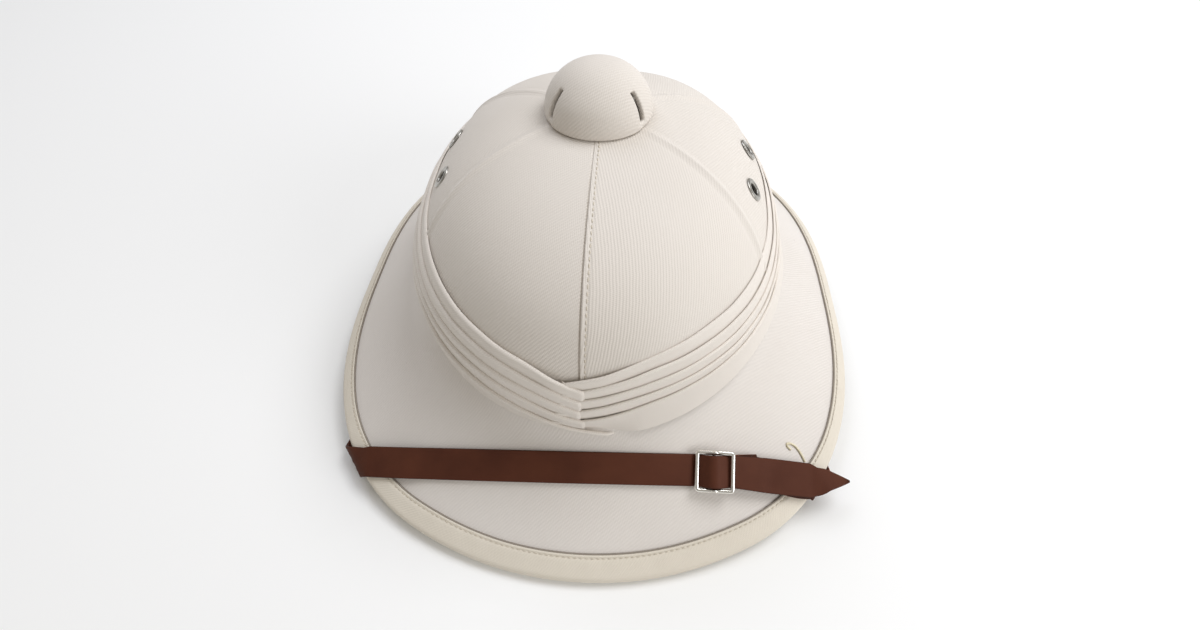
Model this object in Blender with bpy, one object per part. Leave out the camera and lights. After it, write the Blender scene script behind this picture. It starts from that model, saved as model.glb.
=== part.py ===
"""Cloth-covered pith sun helmet with a pleated band, a vent button and a leather chin strap.

Metres, +Z up. The front of the hat faces -Y, and the middle of the brim is over the origin.
The hat rests on the front and back arcs of its brim edge, at z = 0. An azimuth is measured
from the front, and is positive toward +X.
"""

import math

import bmesh
import bpy
from mathutils import Matrix, Vector

CLEAR = 0.0003  # gap left between touching pieces

# Brim edge, as seen from above and from the side
BRIM_HALF_WIDTH = 0.140
BRIM_FRONT_REACH = 0.1720  # from the widest place to the front edge
BRIM_BACK_REACH = 0.1600
BRIM_FULL_ARC_DEG = 28.0  # the front and back arcs keep their reach this far from the middle
BRIM_SIDE_RISE = 0.0130
BRIM_REST_ARC_DEG = 10.0  # the edge lies flat on the surface this far from the middle
BRIM_RISE_POWER = 1.45
BRIM_WALL = 0.004
BRIM_FLARE = 0.20  # its slope is this much over the mean at the crown, and under it at the edge

# Cloth edging folded round the brim edge
BINDING_CLOTH = 0.0010
BINDING_WIDTH = 0.0095
BINDING_REST_WIDTH = 0.0028

# Crown
CROWN_HALF_WIDTH = 0.0978
CROWN_FRONT_REACH = 0.1173
CROWN_BACK_REACH = 0.1148
CROWN_CENTRE_Y = 0.0064
CROWN_BASE_Z = 0.0435
CROWN_BASE_SIDE_LIFT = 0.0095
CROWN_RISE = 0.0880
CROWN_WALL = 0.004
# One row for each direction: the exponents of its dome section
CROWN_SECTION = {
    "front": {"across": 2.60, "up": 3.65},
    "side": {"across": 2.80, "up": 1.53},
    "back": {"across": 1.45, "up": 2.88},
}
SIDE_PANEL_FROM_DEG = 61.3  # front edge of each side panel
SIDE_PANEL_TO_DEG = 116.4
SEAM_RIDGE_HEIGHT = 0.0006
SEAM_RIDGE_WIDTH = 0.0042

# Puggaree: a cloth band laid in folds, highest at the sides and dipping to a point in front
FOLD_COUNT = 5
BAND_TOP_SIDE_Z = 0.0935
BAND_TOP_FRONT_Z = 0.0805
LOWEST_FOLD_SIDE_Z = 0.0630
LOWEST_FOLD_FRONT_Z = 0.0505
BAND_DIP_SPREAD_DEG = 11.0
FOLD_THICK = 0.0032  # at the rounded upper edge of each fold
FOLD_THIN = 0.0014  # where a fold goes under the next
BAND_HEM_THICK = 0.0022
FOLD_EDGE_DROP = 0.0012
BAND_SEAT_GAP = 0.0006  # the band and the crown have different facets

# Vent button on top
BUTTON_RADIUS = 0.0250
BUTTON_HEIGHT = 0.0218
BUTTON_WALL = 0.0025
BUTTON_LIFT = 0.0005  # air gap under its edge
SLOT_COUNT = 4
SLOT_AZIMUTH_DEG = 55.0
SLOT_WIDTH = 0.0026
SLOT_FOOT = 0.0030
SLOT_HEIGHT = 0.0125
POST_RADIUS = 0.0060

# Eyelets
EYELET_AZIMUTH_DEG = 87.5
EYELET_SPREAD_DEG = 10.0
EYELET_HEIGHT_Z = 0.1045
EYELET_FLANGE_RADIUS = 0.0058
EYELET_BARREL_RADIUS = 0.0042
EYELET_HOLE_RADIUS = 0.0031
EYELET_FLANGE_THICK = 0.0012
EYELET_SEAT_GAP = 0.0006  # a flat flange on a curved wall

# Chin strap
STRAP_WIDTH = 0.0145
STRAP_LEATHER = 0.0016
SHORT_STRAP_WIDTH = 0.0130
SHORT_STRAP_LEATHER = 0.0014
STRAP_GAP = 0.0006
EDGE_WRAP_GAP = 0.0012  # under the leather where it turns round the brim edge aslant
RAMP_START = 3.8  # binding widths from the edge where the strap starts to climb
RAMP_END = 2.6
WRAP_LEAD = 0.0040  # length left out between the strap on the brim and its turn round the edge
LAYER_GAP = 0.0005  # between one layer of leather and the next
STRAP_FRONT_Y = -0.1243  # where its middle crosses the front of the brim
STRAP_FRONT_Z = 0.0325
STRAP_LEAN_DEG = 23.6
STRAP_SKEW_DEG = 2.3
TAIL_TURN_DEG = 5.0
TAIL_PAST_EDGE = 0.0165
TIP_LENGTH = 0.0235
TIP_WIDTH = 0.0012
FOLDED_END_LENGTH = 0.0215
FOLDED_END_DRIFT = 0.0012
SHORT_STRAP_SLIP = 0.0045  # at the brim edge, toward the front, so that the tail covers it
ANCHOR_AZIMUTH_DEG = 76.0
ANCHOR_INSET = 0.20  # share of the way from the crown to the brim edge
PIN_HEAD_RADIUS = 0.0045
PIN_STEM_RADIUS = 0.0017
PIN_HEAD_THICK = 0.0010
PIN_BITE = 0.0025  # depth of the stem in the brim

# Slide
SLIDE_X = 0.0583
SLIDE_WIRE_RADIUS = 0.0009
SLIDE_LENGTH = 0.0157  # along the strap, between the middles of its end bars
SLIDE_SIDE_GAP = 0.0003

AZIMUTH_STEPS = 60
CROWN_RINGS = 11
INNER_RINGS = 6
CLOTH_COLOUR = (0.63, 0.58, 0.52, 1.0)
BINDING_COLOUR = (0.60, 0.56, 0.49, 1.0)
LEATHER_COLOUR = (0.070, 0.025, 0.017, 1.0)
METAL_COLOUR = (0.62, 0.61, 0.58, 1.0)


def clear_scene():
    for item in list(bpy.data.objects):
        bpy.data.objects.remove(item, do_unlink=True)


def material(name, colour, roughness, metallic=0.0):
    made = bpy.data.materials.new(name)
    made.use_nodes = True
    shader = made.node_tree.nodes["Principled BSDF"]
    shader.inputs["Base Color"].default_value = colour
    shader.inputs["Roughness"].default_value = roughness
    shader.inputs["Metallic"].default_value = metallic
    return made


def lerp(start, end, share):
    return start + (end - start) * share


def smoothstep(low, high, value):
    share = min(max((value - low) / (high - low), 0.0), 1.0)
    return share * share * (3.0 - 2.0 * share)


def even_azimuths():
    return [math.radians(-180 + 360 * i / AZIMUTH_STEPS) for i in range(AZIMUTH_STEPS)]


# Brim edge and crown as formulas


def widest_y():
    """Y of the brim's widest place, which puts the middle of its length over the origin."""
    return (BRIM_FRONT_REACH - BRIM_BACK_REACH) / 2


def brim_reach(azimuth):
    """Plan distance of the brim edge from the middle of its widest place."""
    from_end = 90.0 - abs(90.0 - abs(math.degrees(azimuth)))
    drawn_in = smoothstep(BRIM_FULL_ARC_DEG, 90.0, from_end)
    reach = BRIM_FRONT_REACH if math.cos(azimuth) > 0 else BRIM_BACK_REACH
    return lerp(reach, BRIM_HALF_WIDTH, drawn_in)


def edge_rise(azimuth):
    """Height of the brim edge's underside: zero along the two arcs that it rests on."""
    still = math.sin(math.radians(BRIM_REST_ARC_DEG))
    share = max(0.0, (abs(math.sin(azimuth)) - still) / (1.0 - still))
    return BRIM_SIDE_RISE * share**BRIM_RISE_POWER


def nose_radius():
    return BRIM_WALL / 2 + CLEAR + BINDING_CLOTH


def dome_exponents(azimuth):
    front = max(math.cos(azimuth), 0.0) ** 2
    back = max(-math.cos(azimuth), 0.0) ** 2
    weights = {"front": front, "back": back, "side": 1.0 - front - back}
    across = sum(weights[way] * CROWN_SECTION[way]["across"] for way in weights)
    upward = sum(weights[way] * CROWN_SECTION[way]["up"] for way in weights)
    return across, upward


def crown_base_z(azimuth):
    return CROWN_BASE_Z + CROWN_BASE_SIDE_LIFT * math.sin(azimuth) ** 2


def crown_point(azimuth, level, grow=0.0, lower_top=0.0):
    """Point of the dome. level is 0 at its base and 1 at its top; grow moves it outward."""
    across, upward = dome_exponents(azimuth)
    share = max(0.0, 1.0 - level**upward) ** (1.0 / across)
    reach = CROWN_FRONT_REACH if math.cos(azimuth) > 0 else CROWN_BACK_REACH
    height = CROWN_BASE_SIDE_LIFT * math.sin(azimuth) ** 2 * (1.0 - level)
    return Vector((
        (CROWN_HALF_WIDTH + grow) * share * math.sin(azimuth),
        CROWN_CENTRE_Y - (reach + grow) * share * math.cos(azimuth),
        CROWN_BASE_Z + height + (CROWN_RISE - lower_top) * level,
    ))


def crown_level_at(azimuth, height):
    lift = CROWN_BASE_SIDE_LIFT * math.sin(azimuth) ** 2
    return (height - CROWN_BASE_Z - lift) / (CROWN_RISE - lift)


def crown_normal(azimuth, level):
    step = 1e-3
    round_it = crown_point(azimuth + step, level) - crown_point(azimuth - step, level)
    up_it = crown_point(azimuth, level + step) - crown_point(azimuth, level - step)
    return round_it.cross(up_it).normalized()


# Brim as a formula: sections that run from the crown's base out to the edge


class BrimSection:
    """Middle line of the brim's wall at one azimuth, as distance out from the crown and height."""

    def __init__(self, azimuth):
        self.azimuth = azimuth
        reach = brim_reach(azimuth) - nose_radius()
        base = crown_point(azimuth, 0.0)
        edge = Vector((reach * math.sin(azimuth), widest_y() - reach * math.cos(azimuth), 0.0))
        flat = Vector((edge.x - base.x, edge.y - base.y, 0.0))
        self.outward = flat.normalized()
        self.origin = Vector((base.x, base.y, 0.0))
        self.start_out = -BRIM_WALL / 2
        self.end_out = flat.length
        self.start_z = crown_base_z(azimuth) - CLEAR - BRIM_WALL / 2
        self.end_z = edge_rise(azimuth) + nose_radius()

    def middle(self, share):
        out = lerp(self.start_out, self.end_out, share)
        left = 1.0 - share
        return out, lerp(self.end_z, self.start_z, left * (1.0 - BRIM_FLARE + BRIM_FLARE * left))

    def normal(self, share):
        step = 1e-3
        low, high = self.middle(share - step), self.middle(share + step)
        run, drop = high[0] - low[0], high[1] - low[1]
        length = math.hypot(run, drop)
        return -drop / length, run / length

    def offset(self, share, distance):
        """Point at a distance above the middle line, or below it where negative."""
        out, height = self.middle(share)
        across, upward = self.normal(share)
        return self.at(out + across * distance, height + upward * distance)

    def at(self, out, height):
        place = self.origin + self.outward * out
        return Vector((place.x, place.y, height))

    def edge_frame(self):
        """Middle of the wall at the edge, with the directions outward along the wall and up from it."""
        across, upward = self.normal(1.0)
        up_from_wall = self.outward * across + Vector((0, 0, upward))
        along_wall = self.outward * upward - Vector((0, 0, across))
        return self.at(*self.middle(1.0)), along_wall, up_from_wall


def brim_share_at(x, y):
    """Azimuth and share of the brim section through a place in plan."""

    def side_of(azimuth):
        section = BrimSection(azimuth)
        away = Vector((x, y, 0.0)) - section.origin
        return away.cross(section.outward).z

    aimed = math.atan2(x, widest_y() - y)
    low, high = aimed - 0.5, aimed + 0.5
    rising = side_of(high) > side_of(low)
    for _ in range(40):
        middle = (low + high) / 2
        if (side_of(middle) > 0) == rising:
            high = middle
        else:
            low = middle
    section = BrimSection((low + high) / 2)
    out = (Vector((x, y, 0.0)) - section.origin).dot(section.outward)
    return section, (out - section.start_out) / (section.end_out - section.start_out)


def brim_height(x, y, distance):
    """Height over a place in plan of the surface at a distance from the middle of the brim's wall."""
    section, share = brim_share_at(x, y)
    slope = section.normal(min(share, 1.0))
    return section.middle(min(share, 1.0))[1] + distance / slope[1], share, section


def brim_normal(x, y, distance):
    step = 5e-4
    fall_x = brim_height(x + step, y, distance)[0] - brim_height(x - step, y, distance)[0]
    fall_y = brim_height(x, y + step, distance)[0] - brim_height(x, y - step, distance)[0]
    return Vector((-fall_x / (2 * step), -fall_y / (2 * step), 1.0)).normalized()


# Meshes


def add_object(name, mesh, finish, smooth_deg=40.0):
    made = bpy.data.objects.new(name, mesh)
    bpy.context.scene.collection.objects.link(made)
    if finish:
        mesh.materials.append(finish)
    mesh.shade_smooth()
    mesh.set_sharp_from_angle(angle=math.radians(smooth_deg))
    return made


def mesh_from(name, points, faces):
    mesh = bpy.data.meshes.new(name)
    mesh.from_pydata([tuple(point) for point in points], [], faces)
    work = bmesh.new()
    work.from_mesh(mesh)
    bmesh.ops.recalc_face_normals(work, faces=work.faces)
    work.to_mesh(mesh)
    work.free()
    return mesh


def band_faces(rings, size, closed_across):
    """Quads between neighbouring rings of equal size; closed_across also joins last ring to first."""
    faces = []
    last = rings if closed_across else rings - 1
    for ring in range(last):
        low, high = ring * size, ((ring + 1) % rings) * size
        for i in range(size):
            j = (i + 1) % size
            faces.append((low + i, low + j, high + j, high + i))
    return faces


def round_solid(name, sections, finish, smooth_deg=40.0):
    """Solid swept once round the hat. Each section is one closed loop of points."""
    points = [point for section in sections for point in section]
    faces = band_faces(len(sections), len(sections[0]), True)
    return add_object(name, mesh_from(name, points, faces), finish, smooth_deg)


def swept_solid(name, sections, finish, smooth_deg=35.0):
    """Solid along a path with flat ends."""
    size = len(sections[0])
    points = [point for section in sections for point in section]
    faces = band_faces(len(sections), size, False)
    faces.append(tuple(range(size)))
    faces.append(tuple(range((len(sections) - 1) * size, len(sections) * size)))
    return add_object(name, mesh_from(name, points, faces), finish, smooth_deg)


def dome_solid(name, azimuths, outer, inner, finish):
    """Open-bottomed dome. outer and inner list rings from the base up, then the top point."""
    size = len(azimuths)
    points, faces = [], []
    tops = []
    for rings, top in (outer, inner):
        start = len(points)
        points += [point for ring in rings for point in ring]
        faces += [tuple(start + i for i in face) for face in band_faces(len(rings), size, False)]
        points.append(top)
        last = start + (len(rings) - 1) * size
        faces += [(last + i, last + (i + 1) % size, len(points) - 1) for i in range(size)]
        tops.append(start)
    for i in range(size):
        j = (i + 1) % size
        faces.append((tops[0] + i, tops[0] + j, tops[1] + j, tops[1] + i))
    return add_object(name, mesh_from(name, points, faces), finish)


def turned_solid(name, profile, steps, frame, finish, smooth_deg=40.0):
    """Ring turned round the local Z axis from a closed profile of (radius, height) pairs."""
    sections = []
    for i in range(steps):
        turn = 2 * math.pi * i / steps
        sections.append([frame @ Vector((r * math.cos(turn), r * math.sin(turn), z)) for r, z in profile])
    return round_solid(name, sections, finish, smooth_deg)


def rod(name, radius, start, end, steps=16, finish=None):
    axis = (end - start).normalized()
    side = axis.orthogonal().normalized()
    other = axis.cross(side)
    rings = []
    for place in (start, end):
        turns = [2 * math.pi * i / steps for i in range(steps)]
        rings.append([place + side * radius * math.cos(t) + other * radius * math.sin(t) for t in turns])
    return swept_solid(name, rings, finish)


def cut(target, cutter):
    cutter.hide_render = True
    cutter.display_type = "WIRE"
    boolean = target.modifiers.new(cutter.name, "BOOLEAN")
    boolean.operation = "DIFFERENCE"
    boolean.solver = "EXACT"
    boolean.object = cutter


def join(target, other):
    other.hide_render = True
    other.display_type = "WIRE"
    boolean = target.modifiers.new(other.name, "BOOLEAN")
    boolean.operation = "UNION"
    boolean.solver = "EXACT"
    boolean.object = other


# Crown


def seam_azimuths():
    return [math.radians(a) for a in (
        -180.0, -SIDE_PANEL_TO_DEG, -SIDE_PANEL_FROM_DEG, 0.0, SIDE_PANEL_FROM_DEG, SIDE_PANEL_TO_DEG)]


def panel_azimuths():
    """Even steps within each cloth panel, and a step close to each side of every seam."""
    found = []
    seams = seam_azimuths() + [math.pi]
    near = SEAM_RIDGE_WIDTH / 2 / CROWN_HALF_WIDTH
    for start, end in zip(seams, seams[1:]):
        steps = max(4, round(AZIMUTH_STEPS * (end - start) / (2 * math.pi)) - 1)
        found.append(start)
        found += [lerp(start + near, end - near, i / steps) for i in range(steps + 1)]
    return found


def make_crown(cloth):
    azimuths = panel_azimuths()
    seams = seam_azimuths()
    outer, inner = [], []
    outer_levels = [math.sin(math.pi / 2 * i / CROWN_RINGS) for i in range(CROWN_RINGS)]
    inner_levels = [math.sin(math.pi / 2 * i / INNER_RINGS) for i in range(INNER_RINGS)]
    for level in outer_levels:
        ridge = SEAM_RIDGE_HEIGHT * (1.0 - level**12)
        outer.append([crown_point(a, level, ridge if a in seams else 0.0) for a in azimuths])
    for level in inner_levels:
        inner.append([crown_point(a, level, -CROWN_WALL, CROWN_WALL) for a in azimuths])
    outer_top = Vector((0.0, CROWN_CENTRE_Y, CROWN_BASE_Z + CROWN_RISE))
    inner_top = outer_top - Vector((0.0, 0.0, CROWN_WALL))
    crown = dome_solid("crown", azimuths, (outer, outer_top), (inner, inner_top), cloth)
    for name, azimuth in eyelet_azimuths().items():
        place, out = eyelet_seat(azimuth)
        hole = rod(
            "hole_" + name, EYELET_BARREL_RADIUS + CLEAR,
            place - out * CROWN_WALL * 3, place + out * CROWN_WALL * 3, 14,
        )
        cut(crown, hole)
    return crown


# Eyelets


def eyelet_azimuths():
    front = math.radians(EYELET_AZIMUTH_DEG - EYELET_SPREAD_DEG)
    back = math.radians(EYELET_AZIMUTH_DEG + EYELET_SPREAD_DEG)
    return {
        "eyelet_left_front": -front,
        "eyelet_left_back": -back,
        "eyelet_right_front": front,
        "eyelet_right_back": back,
    }


def eyelet_seat(azimuth):
    level = crown_level_at(azimuth, EYELET_HEIGHT_Z)
    return crown_point(azimuth, level), crown_normal(azimuth, level)


def make_eyelet(name, azimuth, metal):
    place, out = eyelet_seat(azimuth)
    frame = Matrix.Translation(place) @ out.to_track_quat("Z", "Y").to_matrix().to_4x4()
    inside = -(CROWN_WALL * 1.25 + EYELET_SEAT_GAP)
    flange, barrel, hole = EYELET_FLANGE_RADIUS, EYELET_BARREL_RADIUS, EYELET_HOLE_RADIUS
    thick, gap = EYELET_FLANGE_THICK, EYELET_SEAT_GAP
    profile = [
        (hole, inside - thick / 2),
        (hole, gap + thick * 0.35),
        (lerp(hole, flange, 0.3), gap + thick),
        (lerp(hole, flange, 0.75), gap + thick * 0.95),
        (flange, gap + thick * 0.3),
        (flange, gap),
        (barrel, gap),
        (barrel, inside),
        (flange * 0.92, inside),
        (flange * 0.92, inside - thick / 2),
    ]
    return turned_solid(name, profile, 14, frame, metal)


# Brim and its edging


def make_brim(cloth):
    top_shares = [0.07, 0.20, 0.40, 0.60, 0.80, 1.0]
    under_shares = [1.0, 0.75, 0.50, 0.25]
    sections = []
    for azimuth in even_azimuths():
        section = BrimSection(azimuth)
        inner = -CROWN_WALL
        top_z = crown_base_z(azimuth) - CLEAR
        loop = [section.at(inner, top_z), section.at(0.0, top_z)]
        loop += [section.offset(share, BRIM_WALL / 2) for share in top_shares]
        loop += [section.offset(share, -BRIM_WALL / 2) for share in under_shares]
        loop.append(section.at(inner, top_z - BRIM_WALL * 0.45))
        sections.append(loop)
    return round_solid("brim", sections, cloth)


def make_binding(edging):
    """Edging of a C section round the brim edge, with a flat underside where it rests."""
    radius = nose_radius()
    slip = BRIM_WALL / 2 + CLEAR
    sections = []
    for azimuth in even_azimuths():
        section = BrimSection(azimuth)
        middle, along, up = section.edge_frame()
        level_out, level_up = section.outward, Vector((0, 0, 1))
        start = 1.0 - BINDING_WIDTH / (section.end_out - section.start_out) * 0.85
        mid = (1.0 + start) / 2
        under = radius
        loop = [
            section.offset(start, radius),
            section.offset(mid, radius),
            middle + up * radius,
            middle + (along + up).normalized() * radius,
            middle + level_out * radius,
            middle + (level_out - level_up * 0.75).normalized() * radius,
            middle + level_out * BINDING_REST_WIDTH * 0.43 - level_up * under,
            middle - level_out * BINDING_REST_WIDTH * 0.57 - level_up * under,
            section.offset(mid, -radius),
            section.offset(start, -radius),
            section.offset(start, -slip),
            middle - up * slip + along * CLEAR,
            middle + up * slip + along * CLEAR,
            section.offset(start, slip),
        ]
        sections.append(loop)
    return round_solid("brim_binding", sections, edging, 50.0)


# Puggaree


def fold_top(azimuth, fold):
    """Height of a fold's upper edge. Fold 0 is the highest."""
    dip = math.exp(-abs(math.degrees(azimuth)) / BAND_DIP_SPREAD_DEG)
    top = lerp(BAND_TOP_SIDE_Z, BAND_TOP_FRONT_Z, dip)
    lowest = lerp(LOWEST_FOLD_SIDE_Z, LOWEST_FOLD_FRONT_Z, dip)
    return lerp(top, lowest, fold / (FOLD_COUNT - 1))


def make_puggaree(cloth):
    seat = SEAM_RIDGE_HEIGHT + BAND_SEAT_GAP
    sections = []
    for azimuth in even_azimuths():
        base = crown_base_z(azimuth) + CLEAR

        def skin(height, thickness):
            level = max(crown_level_at(azimuth, height), 0.0)
            place = crown_point(azimuth, level, seat + thickness)
            place.z = height
            return place

        loop = []
        for fold in range(FOLD_COUNT):
            top = fold_top(azimuth, fold)
            above = FOLD_THIN if fold else FOLD_THIN * 0.6
            loop.append(skin(top, above))
            loop.append(skin(top - FOLD_EDGE_DROP, FOLD_THICK))
        loop.append(skin(base, BAND_HEM_THICK))
        for share in (0.0, 0.2, 0.4, 0.6, 0.8, 1.0):
            loop.append(skin(lerp(base, fold_top(azimuth, 0), share), 0.0))
        sections.append(loop)
    return round_solid("puggaree", sections, cloth, 60.0)


# Vent button


def button_base_z():
    level = 1.0
    while CROWN_CENTRE_Y - crown_point(0.0, level).y < BUTTON_RADIUS:
        level -= 0.001
    return crown_point(0.0, level).z + BUTTON_LIFT


def make_button(cloth):
    steps = 32
    turns = [2 * math.pi * i / steps for i in range(steps)]
    base = button_base_z()
    centre = Vector((0.0, CROWN_CENTRE_Y, base))
    shells = []
    for inset, levels in ((0.0, 8), (BUTTON_WALL, 5)):
        radius, height = BUTTON_RADIUS - inset, BUTTON_HEIGHT - inset
        rings = []
        for i in range(levels):
            rise = math.pi / 2 * i / levels
            ring = [
                centre + Vector((
                    radius * math.cos(rise) * math.sin(t),
                    -radius * math.cos(rise) * math.cos(t),
                    height * math.sin(rise),
                ))
                for t in turns
            ]
            rings.append(ring)
        shells.append((rings, centre + Vector((0, 0, height))))
    button = dome_solid("vent_button", turns, shells[0], shells[1], cloth)
    for i in range(SLOT_COUNT):
        side = 1 if i % 2 else -1
        azimuth = side * math.radians(SLOT_AZIMUTH_DEG if i < 2 else 180.0 - SLOT_AZIMUTH_DEG)
        cut(button, slot_cutter(f"slot_{i + 1}", azimuth, centre))
    return button


def slot_cutter(name, azimuth, centre):
    out = Vector((math.sin(azimuth), -math.cos(azimuth), 0.0))
    across = Vector((math.cos(azimuth), math.sin(azimuth), 0.0)) * SLOT_WIDTH / 2
    rings = []
    for height in (SLOT_FOOT, SLOT_FOOT + SLOT_HEIGHT):
        low = centre + out * BUTTON_RADIUS * 0.4 + Vector((0, 0, height))
        far = centre + out * BUTTON_RADIUS * 1.3 + Vector((0, 0, height))
        rings.append([low - across, far - across, far + across, low + across])
    return swept_solid(name, rings, None)


def make_post(metal):
    bottom = Vector((0.0, CROWN_CENTRE_Y, CROWN_BASE_Z + CROWN_RISE + CLEAR))
    reach = BUTTON_HEIGHT - BUTTON_WALL
    fall = 1.0 - math.sqrt(1.0 - (POST_RADIUS / (BUTTON_RADIUS - BUTTON_WALL)) ** 2)
    top = Vector((0.0, CROWN_CENTRE_Y, button_base_z() + reach * (1.0 - fall) - CLEAR))
    return rod("button_post", POST_RADIUS, bottom, top, 20, metal)


# Strap route: where a leaning plane meets the top of the brim


class StrapRoute:
    """Middle line of the strap on the brim's upper surface, by length from the slide."""

    def __init__(self):
        self.points, self.normals = [], []
        lean, skew = math.tan(math.radians(STRAP_LEAN_DEG)), math.tan(math.radians(STRAP_SKEW_DEG))
        step = 0.003
        left = self.edge_x(lean, skew, -1)
        right = self.edge_x(lean, skew, 1)
        count = math.ceil((right - left) / step)
        for i in range(count + 1):
            x = lerp(left, right, i / count)
            y, z = self.on_brim(x, lean, skew)
            self.points.append(Vector((x, y, z)))
            self.normals.append(brim_normal(x, y, BRIM_WALL / 2))
        self.points = [self.lifted(i) for i in range(count + 1)]
        self.lengths = [0.0]
        for a, b in zip(self.points, self.points[1:]):
            self.lengths.append(self.lengths[-1] + (b - a).length)
        zero = next(i for i, point in enumerate(self.points) if point.x >= SLIDE_X)
        self.lengths = [length - self.lengths[zero] for length in self.lengths]
        self.left, self.right = self.lengths[0], self.lengths[-1]

    def lifted(self, i):
        """Raises a point until a flat strap over it clears the hollow flare of the brim."""
        along = self.points[min(i + 1, len(self.points) - 1)] - self.points[max(i - 1, 0)]
        across = self.normals[i].cross(along).normalized() * STRAP_WIDTH / 2
        bulge = 0.0
        for side in (-1.0, -0.5, 0.5, 1.0):
            place = self.points[i] + across * side
            above = brim_height(place.x, place.y, BRIM_WALL / 2)[0] - place.z
            bulge = max(bulge, above * self.normals[i].z)
        return self.points[i] + self.normals[i] * bulge

    @staticmethod
    def on_brim(x, lean, skew):
        y = STRAP_FRONT_Y
        for _ in range(25):
            z = brim_height(x, y, BRIM_WALL / 2)[0]
            y = lerp(y, STRAP_FRONT_Y - lean * (z - STRAP_FRONT_Z) + skew * x, 0.6)
        return y, brim_height(x, y, BRIM_WALL / 2)[0]

    def edge_x(self, lean, skew, side):
        near, far = 0.0, BRIM_HALF_WIDTH
        for _ in range(30):
            middle = (near + far) / 2
            y, _ = self.on_brim(side * middle, lean, skew)
            if brim_share_at(side * middle, y)[1] > 1.0:
                far = middle
            else:
                near = middle
        return side * near

    def frame(self, length):
        """Place, direction along the strap and normal; beyond an end the strap runs straight on."""
        inside = min(max(length, self.left), self.right)
        last = len(self.lengths) - 1
        i = next((k for k in range(1, last) if self.lengths[k] >= inside), last)
        share = (inside - self.lengths[i - 1]) / (self.lengths[i] - self.lengths[i - 1])
        along = (self.points[i] - self.points[i - 1]).normalized()
        place = self.points[i - 1].lerp(self.points[i], share)
        normal = self.normals[i - 1].lerp(self.normals[i], share)
        normal = (normal - along * normal.dot(along)).normalized()
        return place + along * (length - inside), along, normal

    def at(self, length, height, sideways=0.0):
        place, along, normal = self.frame(length)
        return place + normal * height + normal.cross(along) * sideways, normal


def edge_wrap(route, side, leather, slip=0.0):
    """Stations round the brim edge and in under the brim to the anchor, from the top outward.

    The slip moves them sideways, toward the front of the hat.
    """
    place, along, _ = route.frame(route.left if side < 0 else route.right)
    heading = along * side
    section, _ = brim_share_at(place.x, place.y)
    middle, out, up = section.edge_frame()
    tangent = up.cross(out)
    if tangent.dot(heading) < 0:
        tangent = -tangent
    slant = math.atan2(heading.dot(tangent), heading.dot(out))
    radius = nose_radius() + EDGE_WRAP_GAP + leather / 2
    base = middle + tangent * ((place - middle).dot(tangent) - slip / math.cos(slant))
    stations = []
    count = 13
    for i in range(count + 1):
        turn = math.pi * i / count
        normal = up * math.cos(turn) + out * math.sin(turn)
        spot = base + normal * radius + tangent * radius * math.tan(slant) * turn
        stations.append((spot, normal))
    end = stations[-1][0]
    anchor_section = BrimSection(side * math.radians(ANCHOR_AZIMUTH_DEG))
    anchor = anchor_section.offset(ANCHOR_INSET, 0.0)
    depth = -radius
    count = 7
    for i in range(1, count + 1):
        x, y = lerp(end.x, anchor.x, i / count), lerp(end.y, anchor.y, i / count)
        normal = brim_normal(x, y, depth)
        z = brim_height(x, y, depth)[0]
        stations.append((Vector((x, y, z)), -normal))
    return stations


def strap_sections(stations, leather, widths):
    """Corner loops of a flat strip along stations of (place, normal)."""
    sections = []
    for i, (place, normal) in enumerate(stations):
        before, after = stations[max(i - 1, 0)][0], stations[min(i + 1, len(stations) - 1)][0]
        along = (after - before).normalized()
        up = (normal - along * normal.dot(along)).normalized()
        across = up.cross(along) * widths[i] / 2
        rise = up * leather / 2
        one, other = place + across, place - across
        sections.append([one + rise, other + rise, other - rise, one - rise])
    return sections


def layer_heights():
    """Heights above the brim of the middle of each layer at the slide."""
    wire = SLIDE_WIRE_RADIUS
    under_left = STRAP_GAP + STRAP_LEATHER / 2
    lower = STRAP_GAP + SHORT_STRAP_LEATHER / 2
    centre_bar = lower + SHORT_STRAP_LEATHER / 2 + LAYER_GAP + wire
    loop = wire + LAYER_GAP + SHORT_STRAP_LEATHER / 2
    folded = lower + SHORT_STRAP_LEATHER + LAYER_GAP
    over = loop + SHORT_STRAP_LEATHER / 2 + LAYER_GAP + STRAP_LEATHER / 2
    tail = folded + SHORT_STRAP_LEATHER / 2 + LAYER_GAP + STRAP_LEATHER / 2
    on_short = lower + SHORT_STRAP_LEATHER / 2 + LAYER_GAP + STRAP_LEATHER / 2
    return {
        "under_left": under_left,
        "left_bar": under_left + STRAP_LEATHER / 2 + LAYER_GAP + wire,
        "lower": lower,
        "centre_bar": centre_bar,
        "loop_radius": loop,
        "folded": folded,
        "over_radius": over,
        "tail": tail,
        "right_bar": tail + STRAP_LEATHER / 2 + LAYER_GAP + wire,
        "on_short": on_short,
    }


def on_binding(from_edge):
    """Share of the climb onto the edging, which starts early because the strap crosses it aslant."""
    return 1.0 - smoothstep(RAMP_END * BINDING_WIDTH, RAMP_START * BINDING_WIDTH, from_edge)


def binding_step():
    return nose_radius() - BRIM_WALL / 2 + EDGE_WRAP_GAP - STRAP_GAP


def binding_ramp(route, length):
    return binding_step() * on_binding(min(length - route.left, route.right - length))


def tangent_over(centre, radius, point, turn_sign):
    """Angle on a circle where the line from a point outside touches it."""
    away_x, away_y = point[0] - centre[0], point[1] - centre[1]
    distance = math.hypot(away_x, away_y)
    return math.atan2(away_y, away_x) + turn_sign * math.acos(radius / distance)


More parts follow.
